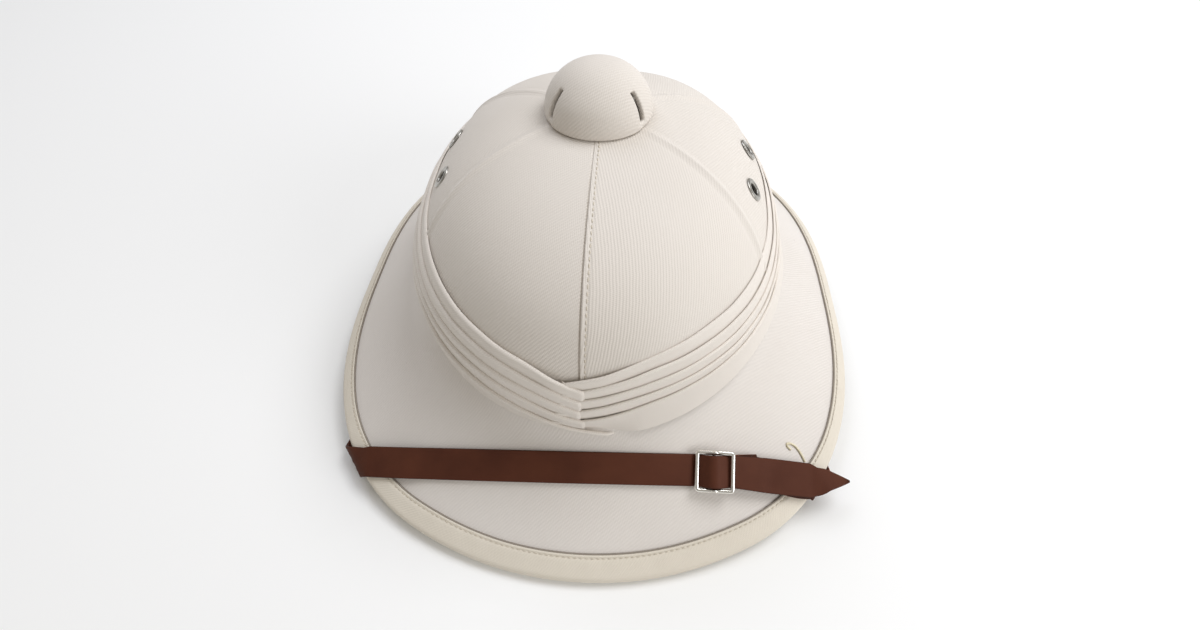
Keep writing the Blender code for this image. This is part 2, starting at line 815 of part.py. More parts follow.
def make_long_strap(route, leather):
    heights = layer_heights()
    stations = list(reversed(edge_wrap(route, -1, STRAP_LEATHER)))
    half = SLIDE_LENGTH / 2
    wire = SLIDE_WIRE_RADIUS
    plain = []
    count = 26
    start, stop = route.left + WRAP_LEAD, -half - 4.0 * wire
    for i in range(count + 1):
        length = lerp(start, stop, i / count)
        plain.append((length, heights["under_left"] + binding_ramp(route, length)))
    left_low = (0.8 * wire - half, heights["under_left"])
    right_low = (half, heights["tail"])
    centre = (0.0, heights["centre_bar"])
    radius = heights["over_radius"]
    first = tangent_over(centre, radius, left_low, -1) % (2 * math.pi)
    last = tangent_over(centre, radius, right_low, 1)
    bump = [left_low]
    for i in range(7):
        angle = lerp(first, last, i / 6)
        bump.append((centre[0] + radius * math.cos(angle), centre[1] + radius * math.sin(angle)))
    bump.append((half - 1.2 * wire, heights["tail"]))
    plain += [(-half, heights["under_left"])] + bump
    end = route.right + TAIL_PAST_EDGE
    tail_start = half + 0.6 * wire
    rise = binding_step() + heights["on_short"]
    count = 20
    for i in range(count + 1):
        length = lerp(tail_start, end, i / count)
        settle = smoothstep(0.18, 0.78, (length - FOLDED_END_LENGTH) / STRAP_WIDTH)
        height = lerp(heights["tail"], heights["on_short"], settle)
        plain.append((length, lerp(height, rise, on_binding(route.right - length))))
    turn = math.tan(math.radians(TAIL_TURN_DEG))
    widths = [STRAP_WIDTH] * len(stations)
    for length, height in plain:
        sideways = -turn * max(0.0, length - half)
        stations.append(route.at(length, height, sideways))
        point = min(1.0, max(0.0, (end - length) / TIP_LENGTH))
        widths.append(lerp(TIP_WIDTH, STRAP_WIDTH, point))
    return swept_solid("chin_strap", strap_sections(stations, STRAP_LEATHER, widths), leather)


def make_short_strap(route, leather):
    heights = layer_heights()
    stations = list(reversed(edge_wrap(route, 1, SHORT_STRAP_LEATHER, SHORT_STRAP_SLIP)))
    count = 14
    for i in range(count + 1):
        length = lerp(route.right - WRAP_LEAD, 0.0, i / count)
        height = heights["lower"] + binding_ramp(route, length)
        drift = FOLDED_END_DRIFT * smoothstep(0.0, FOLDED_END_LENGTH, length)
        drift -= (FOLDED_END_DRIFT + SHORT_STRAP_SLIP) * smoothstep(0.3, 1.0, length / route.right)
        stations.append(route.at(length, height, drift))
    centre, radius = heights["centre_bar"], heights["loop_radius"]
    place, along, normal = route.frame(0.0)
    for i in range(1, 8):
        turn = math.pi * i / 8
        spot = place + normal * (centre - radius * math.cos(turn)) - along * radius * math.sin(turn)
        facing = normal * math.cos(turn) + along * math.sin(turn)
        stations.append((spot, facing))
    top = centre + radius
    count = 8
    for i in range(count + 1):
        length = FOLDED_END_LENGTH * i / count
        height = lerp(top, heights["folded"], smoothstep(0.0, FOLDED_END_LENGTH * 0.38, length))
        drift = FOLDED_END_DRIFT * smoothstep(0.0, FOLDED_END_LENGTH, length)
        spot, facing = route.at(length, height, drift)
        stations.append((spot, -facing))
    widths = [SHORT_STRAP_WIDTH] * len(stations)
    return swept_solid("slide_strap", strap_sections(stations, SHORT_STRAP_LEATHER, widths), leather)


# Slide and pins


def wire_loop(name, corners, finish):
    """Closed loop of round wire through four corners."""
    normal = (corners[1] - corners[0]).cross(corners[3] - corners[0]).normalized()
    sections = []
    for i, corner in enumerate(corners):
        before, after = corners[i - 1], corners[(i + 1) % 4]
        out = ((corner - before).normalized() + (corner - after).normalized())
        section = []
        for k in range(8):
            angle = math.pi / 8 + math.pi / 4 * k
            section.append(corner + (out * math.cos(angle) + normal * math.sin(angle)) * SLIDE_WIRE_RADIUS)
        sections.append(section)
    return round_solid(name, sections, finish, 50.0)


def make_slide(route, metal):
    heights = layer_heights()
    half = SLIDE_LENGTH / 2
    reach = STRAP_WIDTH / 2 + SLIDE_SIDE_GAP + SLIDE_WIRE_RADIUS
    place, along, normal = route.frame(0.0)
    across = normal.cross(along)
    left_drop = (route.frame(-half)[0] - place).dot(normal)
    right_drop = (route.frame(half)[0] - place).dot(normal)
    left = place - along * half + normal * (heights["left_bar"] + left_drop)
    right = place + along * half + normal * (heights["right_bar"] + right_drop)
    corners = [left + across * reach, right + across * reach, right - across * reach, left - across * reach]
    slide = wire_loop("strap_slide", corners, metal)
    bar = place + normal * heights["centre_bar"]
    length = reach + SLIDE_WIRE_RADIUS * 0.9
    join(slide, rod("slide_bar", SLIDE_WIRE_RADIUS, bar - across * length, bar + across * length, 12))
    frame_height = (heights["left_bar"] + heights["right_bar"] + left_drop + right_drop) / 2
    for name, side in (("slide_loop_upper", 1), ("slide_loop_lower", -1)):
        foot = bar + across * side * reach - normal * SLIDE_WIRE_RADIUS * 0.6
        head = place + across * side * reach + normal * (frame_height + SLIDE_WIRE_RADIUS * 0.6)
        join(slide, rod(name, SLIDE_WIRE_RADIUS * 1.35, foot, head, 12))
    return slide


def make_pin(name, stations, strap, brim, leather, metal):
    """Round-headed pin through the strap's end and into the underside of the brim."""
    (end, normal), (before, _) = stations[-1], stations[-2]
    along = (end - before).normalized()
    spot = end - along * STRAP_WIDTH * 0.45
    into = -(normal - along * normal.dot(along)).normalized()
    radius = nose_radius() + STRAP_GAP + leather / 2
    depth = radius - BRIM_WALL / 2 + PIN_BITE
    frame = Matrix.Translation(spot) @ into.to_track_quat("Z", "Y").to_matrix().to_4x4()
    under = -leather / 2 - CLEAR
    profile = [
        (0.0, under - PIN_HEAD_THICK),
        (PIN_HEAD_RADIUS * 0.7, under - PIN_HEAD_THICK),
        (PIN_HEAD_RADIUS, under - PIN_HEAD_THICK * 0.4),
        (PIN_HEAD_RADIUS, under),
        (PIN_STEM_RADIUS, under),
        (PIN_STEM_RADIUS, depth),
        (0.0, depth),
    ]
    pin = turned_pin(name, profile, 16, frame, metal)
    for target, tag in ((strap, "_strap_hole"), (brim, "_brim_hole")):
        low = spot + into * (under - CLEAR)
        high = spot + into * (depth + CLEAR)
        if target is strap:
            high = spot + into * (leather * 1.2)
        else:
            low = spot + into * (leather * 0.6)
        cut(target, rod(name + tag, PIN_STEM_RADIUS + CLEAR, low, high, 16))
    return pin


def turned_pin(name, profile, steps, frame, finish):
    """Solid of revolution whose profile starts and ends on the axis."""
    rings = []
    for radius, height in profile[1:-1]:
        turns = [2 * math.pi * i / steps for i in range(steps)]
        rings.append([frame @ Vector((radius * math.cos(t), radius * math.sin(t), height)) for t in turns])
    return swept_solid(name, rings, finish, 40.0)


def build():
    clear_scene()
    cloth = material("cotton twill", CLOTH_COLOUR, 0.9)
    edging = material("cotton edging", BINDING_COLOUR, 0.85)
    leather = material("brown leather", LEATHER_COLOUR, 0.45)
    metal = material("nickel", METAL_COLOUR, 0.2, 1.0)
    make_crown(cloth)
    brim = make_brim(cloth)
    make_binding(edging)
    make_puggaree(cloth)
    make_button(cloth)
    make_post(metal)
    for name, azimuth in eyelet_azimuths().items():
        make_eyelet(name, azimuth, metal)
    route = StrapRoute()
    strap = make_long_strap(route, leather)
    short = make_short_strap(route, leather)
    make_slide(route, metal)
    left = edge_wrap(route, -1, STRAP_LEATHER)
    right = edge_wrap(route, 1, SHORT_STRAP_LEATHER, SHORT_STRAP_SLIP)
    make_pin("strap_pin_left", left, strap, brim, STRAP_LEATHER, metal)
    make_pin("strap_pin_right", right, short, brim, SHORT_STRAP_LEATHER, metal)


build()
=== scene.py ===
"""Looks of a cloth-covered pith sun helmet with a pleated band and a leather chin strap.

Metres, +Z up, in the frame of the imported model. The front of the hat faces -Y, and an azimuth is
measured from the front, positive toward +X. Every piece keeps its object at the origin.
"""

import sys

import logging
import math
from dataclasses import dataclass, field
from enum import Enum

import bmesh
import bpy
import numpy as np
from mathutils import Matrix, Vector


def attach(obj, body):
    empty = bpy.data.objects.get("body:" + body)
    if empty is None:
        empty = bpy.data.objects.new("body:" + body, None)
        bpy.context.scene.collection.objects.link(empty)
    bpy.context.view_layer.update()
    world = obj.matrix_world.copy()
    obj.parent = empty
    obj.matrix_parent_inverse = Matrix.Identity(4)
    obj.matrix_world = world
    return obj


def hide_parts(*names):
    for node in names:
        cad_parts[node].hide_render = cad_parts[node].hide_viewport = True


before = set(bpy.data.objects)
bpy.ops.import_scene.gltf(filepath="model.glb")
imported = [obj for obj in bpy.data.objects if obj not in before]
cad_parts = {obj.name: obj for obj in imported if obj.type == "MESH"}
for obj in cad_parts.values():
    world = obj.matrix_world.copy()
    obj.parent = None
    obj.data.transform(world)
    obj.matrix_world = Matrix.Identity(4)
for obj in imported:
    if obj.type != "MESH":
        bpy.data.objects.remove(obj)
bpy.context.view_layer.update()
LOG = logging.getLogger("pith_helmet")
THREADS = "threads"


def hex_to_linear(colour: str, alpha: float = 1.0) -> tuple[float, float, float, float]:
    """Turn an sRGB hex colour into linear values.

    Args:
        colour: Six hex digits, with or without a leading hash sign.
        alpha: Opacity to put last.

    Returns:
        Red, green, blue and alpha, linear.
    """
    digits = colour.lstrip("#")
    parts = [int(digits[i:i + 2], 16) / 255 for i in (0, 2, 4)]
    linear = [c / 12.92 if c <= 0.04045 else ((c + 0.055) / 1.055) ** 2.4 for c in parts]
    return linear[0], linear[1], linear[2], alpha


def smoothstep(low: float, high: float, value: np.ndarray | float) -> np.ndarray:
    """Ease from 0 at low to 1 at high.

    Args:
        low: Value where the ease starts.
        high: Value where it ends.
        value: One value or an array of them.

    Returns:
        The eased share, of the same shape as value.
    """
    share = np.clip((np.asarray(value, float) - low) / (high - low), 0.0, 1.0)
    return share * share * (3.0 - 2.0 * share)


def bell(value: np.ndarray, width: float) -> np.ndarray:
    """Smooth bump that is 1 at 0 and fades over about its width."""
    return np.exp(-((value / width) ** 2))


def wander(value: np.ndarray, seed: int, waves: tuple[float, ...]) -> np.ndarray:
    """Slow, repeatable unevenness of handwork, between about -1 and 1.

    Args:
        value: Where along the piece, in turns or in metres times a frequency.
        seed: Picks one set of phases.
        waves: Frequencies that are summed.

    Returns:
        The unevenness at each value.
    """
    rng = np.random.default_rng(seed)
    total = np.zeros_like(np.asarray(value, float))
    for wave in waves:
        total = total + np.sin(2 * math.pi * wave * value + rng.uniform(0, 2 * math.pi))
    return total / len(waves)


def add_node(tree: bpy.types.NodeTree, kind: str, inputs: dict | None = None, **settings) -> bpy.types.Node:
    """Add one node, with its settings and what its inputs hold or are linked to.

    Args:
        tree: Node tree to add to.
        kind: Blender's name for the node type.
        inputs: Input name or index, to a value or to an output socket that is linked to it.
        settings: Attributes set on the node before its inputs.

    Returns:
        The node.
    """
    node = tree.nodes.new(kind)
    for key, value in settings.items():
        setattr(node, key, value)
    set_inputs(tree, node, inputs or {})
    return node


def set_inputs(tree: bpy.types.NodeTree, node: bpy.types.Node, inputs: dict) -> None:
    """Set or link inputs of a node.

    Args:
        tree: Node tree that holds the node.
        node: Node to set.
        inputs: Input name or index, to a value or to an output socket that is linked to it.
    """
    for key, value in inputs.items():
        if isinstance(value, bpy.types.NodeSocket):
            tree.links.new(value, node.inputs[key])
        else:
            node.inputs[key].default_value = value


def new_finish(name: str) -> tuple[bpy.types.Material, bpy.types.NodeTree, bpy.types.NodeSocket]:
    """Start a material.

    Args:
        name: Common name of what the piece is made of.

    Returns:
        The material, its node tree and the socket of the piece's own coordinates.
    """
    made = bpy.data.materials.new(name)
    made.use_nodes = True
    place = add_node(made.node_tree, "ShaderNodeTexCoord")
    return made, made.node_tree, place.outputs["Object"]


def shade(made: bpy.types.Material, inputs: dict) -> bpy.types.Material:
    """Set or link inputs of a material's shader, and return the material."""
    set_inputs(made.node_tree, made.node_tree.nodes["Principled BSDF"], inputs)
    return made


def new_object(name: str, data: bpy.types.ID) -> bpy.types.Object:
    """Make an object of a mesh, curve, lamp or camera and link it to the scene."""
    made = bpy.data.objects.new(name, data)
    bpy.context.scene.collection.objects.link(made)
    return made


# Form of the hat, the same formulas and sizes as its solids


@dataclass(frozen=True)
class HatForm:
    """Sizes and surfaces of the hat's stiff shell, in metres."""

    brim_half_width: float = 0.140
    brim_front_reach: float = 0.1720
    brim_back_reach: float = 0.1600
    brim_full_arc_deg: float = 28.0
    brim_side_rise: float = 0.0130
    brim_rest_arc_deg: float = 10.0
    brim_rise_power: float = 1.45
    brim_wall: float = 0.004
    brim_flare: float = 0.20
    clear: float = 0.0003
    binding_cloth: float = 0.0010
    crown_half_width: float = 0.0978
    crown_front_reach: float = 0.1173
    crown_back_reach: float = 0.1148
    crown_centre_y: float = 0.0064
    crown_base_z: float = 0.0435
    crown_side_lift: float = 0.0095
    crown_rise: float = 0.0880
    crown_wall: float = 0.004
    front_across: float = 2.60
    front_up: float = 3.65
    side_across: float = 2.80
    side_up: float = 1.53
    back_across: float = 1.45
    back_up: float = 2.88
    side_panel_from_deg: float = 61.3
    side_panel_to_deg: float = 116.4

    def nose_radius(self) -> float:
        """Radius of the bound edge's round nose."""
        return self.brim_wall / 2 + self.clear + self.binding_cloth

    def widest_y(self) -> float:
        """Y of the brim's widest place."""
        return (self.brim_front_reach - self.brim_back_reach) / 2

    def brim_reach(self, azimuth: np.ndarray) -> np.ndarray:
        """Plan distance of the brim edge from the middle of its widest place."""
        from_end = 90.0 - np.abs(90.0 - np.abs(np.degrees(azimuth)))
        drawn_in = smoothstep(self.brim_full_arc_deg, 90.0, from_end)
        reach = np.where(np.cos(azimuth) > 0, self.brim_front_reach, self.brim_back_reach)
        return reach + (self.brim_half_width - reach) * drawn_in

    def edge_rise(self, azimuth: np.ndarray) -> np.ndarray:
        """Height of the edge's underside, zero along the two arcs that it rests on."""
        still = math.sin(math.radians(self.brim_rest_arc_deg))
        share = np.maximum(0.0, (np.abs(np.sin(azimuth)) - still) / (1.0 - still))
        return self.brim_side_rise * share**self.brim_rise_power

    def crown_base(self, azimuth: np.ndarray) -> np.ndarray:
        """Height of the crown's foot, a little higher at the sides."""
        return self.crown_base_z + self.crown_side_lift * np.sin(azimuth) ** 2

    def crown_point(self, azimuth: np.ndarray, level: np.ndarray, grow: np.ndarray | float = 0.0,
                    lower_top: float = 0.0) -> np.ndarray:
        """Points of the dome.

        Args:
            azimuth: Angles from the front, in radians.
            level: 0 at the dome's foot and 1 at its top, of a shape that fits azimuth.
            grow: Distance to move outward in plan.
            lower_top: Distance taken off the height of the top.

        Returns:
            Points, with x, y and z in the last axis.
        """
        azimuth, level = np.broadcast_arrays(np.asarray(azimuth, float), np.asarray(level, float))
        front = np.maximum(np.cos(azimuth), 0.0) ** 2
        back = np.maximum(-np.cos(azimuth), 0.0) ** 2
        side = 1.0 - front - back
        across = front * self.front_across + side * self.side_across + back * self.back_across
        upward = front * self.front_up + side * self.side_up + back * self.back_up
        share = np.maximum(0.0, 1.0 - np.clip(level, 0, 1) ** upward) ** (1.0 / across)
        reach = np.where(np.cos(azimuth) > 0, self.crown_front_reach, self.crown_back_reach)
        lift = self.crown_side_lift * np.sin(azimuth) ** 2 * (1.0 - level)
        return np.stack([
            (self.crown_half_width + grow) * share * np.sin(azimuth),
            self.crown_centre_y - (reach + grow) * share * np.cos(azimuth),
            self.crown_base_z + lift + (self.crown_rise - lower_top) * level,
        ], axis=-1)

    def crown_level(self, azimuth: np.ndarray, height: np.ndarray) -> np.ndarray:
        """Level of the dome at a height."""
        lift = self.crown_side_lift * np.sin(azimuth) ** 2
        return (height - self.crown_base_z - lift) / (self.crown_rise - lift)

    def crown_normal(self, azimuth: np.ndarray, level: np.ndarray) -> np.ndarray:
        """Outward unit normals of the dome."""
        step = 1e-3
        level = np.clip(level, step, 1.0 - 2 * step)
        round_it = self.crown_point(azimuth + step, level) - self.crown_point(azimuth - step, level)
        up_it = self.crown_point(azimuth, level + step) - self.crown_point(azimuth, level - step)
        normal = np.cross(round_it, up_it)
        return normal / np.linalg.norm(normal, axis=-1, keepdims=True)

    def seams(self) -> list[float]:
        """Azimuths of the crown's six seams, in degrees."""
        front, back = self.side_panel_from_deg, self.side_panel_to_deg
        return [-180.0, -back, -front, 0.0, front, back]


@dataclass
class BrimLines:
    """Middle lines of the brim's wall at one or many azimuths."""

    form: HatForm
    azimuth: np.ndarray

    def __post_init__(self) -> None:
        """Work out where each line starts and ends."""
        form, azimuth = self.form, np.asarray(self.azimuth, float)
        reach = form.brim_reach(azimuth) - form.nose_radius()
        base = form.crown_point(azimuth, np.zeros_like(azimuth))
        edge_x = reach * np.sin(azimuth)
        edge_y = form.widest_y() - reach * np.cos(azimuth)
        flat = np.stack([edge_x - base[..., 0], edge_y - base[..., 1]], axis=-1)
        length = np.linalg.norm(flat, axis=-1)
        self.outward = flat / length[..., None]
        self.origin = base[..., :2]
        self.start_out = -form.brim_wall / 2
        self.end_out = length
        self.start_z = form.crown_base(azimuth) - form.clear - form.brim_wall / 2
        self.end_z = form.edge_rise(azimuth) + form.nose_radius()

    def middle(self, share: np.ndarray) -> tuple[np.ndarray, np.ndarray]:
        """Distance out from the crown and height, at shares of the way to the edge."""
        out = self.start_out + (self.end_out - self.start_out) * share
        left = 1.0 - share
        fall = left * (1.0 - self.form.brim_flare + self.form.brim_flare * left)
        return out, self.end_z + (self.start_z - self.end_z) * fall

    def normal(self, share: np.ndarray) -> tuple[np.ndarray, np.ndarray]:
        """Outward and upward parts of the wall's unit normal."""
        step = 1e-3
        low, high = self.middle(share - step), self.middle(share + step)
        run, drop = high[0] - low[0], high[1] - low[1]
        length = np.hypot(run, drop)
        return -drop / length, run / length

    def at(self, out: np.ndarray, height: np.ndarray) -> np.ndarray:
        """Points at a distance out from the crown's foot and at a height."""
        out, height = np.broadcast_arrays(out, height)
        plan = self.origin + self.outward * out[..., None]
        return np.concatenate([plan, height[..., None]], axis=-1)

    def offset(self, share: np.ndarray | float, distance: np.ndarray | float) -> np.ndarray:
        """Points at a distance above the middle line, or below it where negative."""
        out, height = self.middle(np.asarray(share, float))
        across, upward = self.normal(np.asarray(share, float))
        return self.at(out + across * distance, height + upward * distance)


# Mesh making


class MeshKit:
    """Small helpers that turn arrays of points into finished pieces."""

    @staticmethod
    def sweep(name: str, points: np.ndarray, threads: np.ndarray,
              closed_path: bool) -> bpy.types.Object:
        """Make one skin from rows of points.

        Args:
            name: Name of the piece.
            points: Rows along a path, each a loop of points: shape (rows, loop, 3).
            threads: Cloth coordinates in metres, with one column more than there are points in a
                loop, and with one row more where the path is closed.
            closed_path: Whether the last row joins the first. An open path gets end caps.

        Returns:
            The new object, linked to the scene.
        """
        rows, size = points.shape[:2]
        r, c = np.meshgrid(np.arange(rows if closed_path else rows - 1), np.arange(size), indexing="ij")
        r2, c2 = (r + 1) % rows, (c + 1) % size
        quads = np.stack([r * size + c, r * size + c2, r2 * size + c2, r2 * size + c], axis=-1)
        uv = np.stack([threads[r, c], threads[r, c + 1], threads[r + 1, c + 1], threads[r + 1, c]], axis=-2)
        faces = [tuple(q) for q in quads.reshape(-1, 4).tolist()]
        corners = uv.reshape(-1, 2)
        if not closed_path:
            faces.append(tuple(range(size)))
            faces.append(tuple(range((rows - 1) * size, rows * size)))
            corners = np.concatenate([corners, threads[0, :size], threads[-1, :size]])
        mesh = bpy.data.meshes.new(name)
        mesh.from_pydata(points.reshape(-1, 3).tolist(), [], faces)
        layer = mesh.uv_layers.new(name=THREADS)
        layer.data.foreach_set("uv", corners.astype(np.float32).ravel())
        MeshKit.tidy(mesh)
        return new_object(name, mesh)

    @staticmethod
    def tidy(mesh: bpy.types.Mesh, merge: float = 2e-6) -> None:
        """Merge doubles, drop faces with no area and turn all faces outward."""
        work = bmesh.new()
        work.from_mesh(mesh)
        bmesh.ops.remove_doubles(work, verts=work.verts, dist=merge)
        bmesh.ops.recalc_face_normals(work, faces=work.faces)
        work.to_mesh(mesh)
        work.free()

    @staticmethod
    def smooth(obj: bpy.types.Object, sharp_deg: float = 40.0) -> None:
        """Shade a piece smooth, with edges sharper than an angle kept."""
        obj.data.shade_smooth()
        obj.data.set_sharp_from_angle(angle=math.radians(sharp_deg))

    @staticmethod
    def bake(obj: bpy.types.Object) -> bpy.types.Object:
        """Apply what the modifiers make, as one plain mesh.

        Args:
            obj: Piece with live modifiers.

        Returns:
            The same piece with a plain mesh and no modifiers.
        """
        bpy.context.view_layer.update()
        graph = bpy.context.evaluated_depsgraph_get()
        mesh = bpy.data.meshes.new_from_object(obj.evaluated_get(graph), depsgraph=graph)
        mesh.name = obj.name
        if obj.type == "MESH":
            obj.modifiers.clear()
            obj.data = mesh
            return obj
        name = obj.name
        bpy.data.objects.remove(obj)
        return new_object(name, mesh)

    @staticmethod
    def paint(obj: bpy.types.Object, finish: bpy.types.Material) -> None:
        """Give a mesh one material."""
        obj.data.materials.clear()
        obj.data.materials.append(finish)

    @staticmethod
    def place(obj: bpy.types.Object, finish: bpy.types.Material, slot: str,
              replaces: tuple[str, ...] = ()) -> None:
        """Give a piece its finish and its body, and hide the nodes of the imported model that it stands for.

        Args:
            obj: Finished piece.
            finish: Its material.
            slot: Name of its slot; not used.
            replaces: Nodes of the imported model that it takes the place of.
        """
        MeshKit.paint(obj, finish)
        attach(obj, "root")
        if replaces:
            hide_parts(*replaces)
        LOG.info("%s: %d faces", obj.name, len(obj.data.polygons))


# Finishes


class Weave(Enum):
    """How a cloth is woven: how strongly its cross threads show beside its ribs."""

    TWILL = 0.30
    PLAIN = 0.90


@dataclass(frozen=True)
class Cloth:
    """Cotton cloth, woven and glued over a stiff shell, which gives a matte face with fine ribs.

    Threads of the real cloth are about 0.4 mm apart. The ribs are drawn at rib_mm, coarse enough to
    show in the picture.
    """

    name: str
    colour: str
    shade: str
    weave: Weave = Weave.TWILL
    rib_mm: float = 1.25
    rib_stray: float = 3.2
    cross_threads_per_rib: float = 1.6
    slub_mm: float = 7.1429
    fuzz_mm: float = 0.71429
    patch_mm: float = 62.5
    relief: float = 0.22
    relief_depth: float = 0.00022
    stain: float = 0.25
    specks: float = 0.0
    speck_mm: float = 13.3333
    speck_colour: str = "#7d6f5e"
    line_low: float = 0.955
    line_high: float = 1.02

    def build(self) -> bpy.types.Material:
        """Make the material.

        Returns:
            A material that reads the piece's cloth coordinates for its threads.
        """
        made, tree, skin = new_finish(self.name)
        threads = add_node(tree, "ShaderNodeUVMap", uv_map=THREADS)
        split = add_node(tree, "ShaderNodeSeparateXYZ", {"Vector": threads.outputs["UV"]})
        slub = add_node(tree, "ShaderNodeTexNoise", {
            "Vector": skin, "Scale": 1000 / self.slub_mm, "Detail": 2.0})
        turns = 2 * math.pi / (self.rib_mm / 1000)
        across = add_node(tree, "ShaderNodeMath", {0: split.outputs["X"], 1: turns}, operation="MULTIPLY")
        loose = add_node(tree, "ShaderNodeMath", {
            0: slub.outputs["Fac"], 1: self.rib_stray, 2: across.outputs[0]}, operation="MULTIPLY_ADD")
        rib = add_node(tree, "ShaderNodeMath", {0: loose.outputs[0]}, operation="SINE")
        along = add_node(tree, "ShaderNodeMath", {
            0: split.outputs["Y"], 1: turns * self.cross_threads_per_rib}, operation="MULTIPLY")
        lean = add_node(tree, "ShaderNodeMath", {
            0: loose.outputs[0], 1: 0.5, 2: along.outputs[0]}, operation="MULTIPLY_ADD")
        cross = add_node(tree, "ShaderNodeMath", {0: lean.outputs[0]}, operation="SINE")
        woven = add_node(tree, "ShaderNodeMath", {
            0: cross.outputs[0], 1: self.weave.value, 2: rib.outputs[0]}, operation="MULTIPLY_ADD")
        fuzz = add_node(tree, "ShaderNodeTexNoise", {
            "Vector": skin, "Scale": 1000 / self.fuzz_mm, "Detail": 3.0, "Roughness": 0.6})
        height = add_node(tree, "ShaderNodeMath", {
            0: fuzz.outputs["Fac"], 1: 1.1, 2: woven.outputs[0]}, operation="MULTIPLY_ADD")
        patches = add_node(tree, "ShaderNodeTexNoise", {
            "Vector": skin, "Scale": 1000 / self.patch_mm, "Detail": 4.0, "Roughness": 0.55})
        stained = add_node(tree, "ShaderNodeMapRange", {
            "Value": patches.outputs["Fac"], 1: 0.38, 2: 0.72, 3: 0.0, 4: self.stain})
        tone = add_node(tree, "ShaderNodeMix", {
            0: stained.outputs["Result"], 6: hex_to_linear(self.colour), 7: hex_to_linear(self.shade)},
            data_type="RGBA")
        lines = add_node(tree, "ShaderNodeMapRange", {
            "Value": woven.outputs[0], 1: -1.3, 2: 1.3, 3: self.line_low, 4: self.line_high})
        colour = add_node(tree, "ShaderNodeVectorMath", {
            0: tone.outputs[2], 1: lines.outputs["Result"]}, operation="MULTIPLY").outputs[0]
        if self.specks > 0:
            colour = self.speckled(tree, skin, colour)
        bump = add_node(tree, "ShaderNodeBump", {
            "Strength": self.relief, "Distance": self.relief_depth, "Height": height.outputs[0]})
        return shade(made, {
            "Base Color": colour, "Normal": bump.outputs["Normal"], "Roughness": 0.92,
            "Specular IOR Level": 0.25, "Sheen Weight": 0.12, "Sheen Roughness": 0.6})

    def speckled(self, tree: bpy.types.NodeTree, skin: bpy.types.NodeSocket,
                 colour: bpy.types.NodeSocket) -> bpy.types.NodeSocket:
        """Put a few dark specks of soil on the cloth.

        Args:
            tree: Node tree of the material.
            skin: Coordinates of the piece.
            colour: Colour of the clean cloth.

        Returns:
            Colour of the specked cloth.
        """
        cells = add_node(tree, "ShaderNodeTexVoronoi", {"Vector": skin, "Scale": 1000 / self.speck_mm})
        dot = add_node(tree, "ShaderNodeMapRange", {
            "Value": cells.outputs["Distance"], 1: 0.022, 2: 0.045, 3: self.specks, 4: 0.0})
        drawn = add_node(tree, "ShaderNodeSeparateXYZ", {"Vector": cells.outputs["Color"]})
        few = add_node(tree, "ShaderNodeMath", {0: drawn.outputs["X"], 1: 0.86}, operation="GREATER_THAN")
        share = add_node(tree, "ShaderNodeMath", {0: dot.outputs["Result"], 1: few.outputs[0]},
                         operation="MULTIPLY")
        specked = add_node(tree, "ShaderNodeMix", {
            0: share.outputs[0], 6: colour, 7: hex_to_linear(self.speck_colour)}, data_type="RGBA")
        return specked.outputs[2]


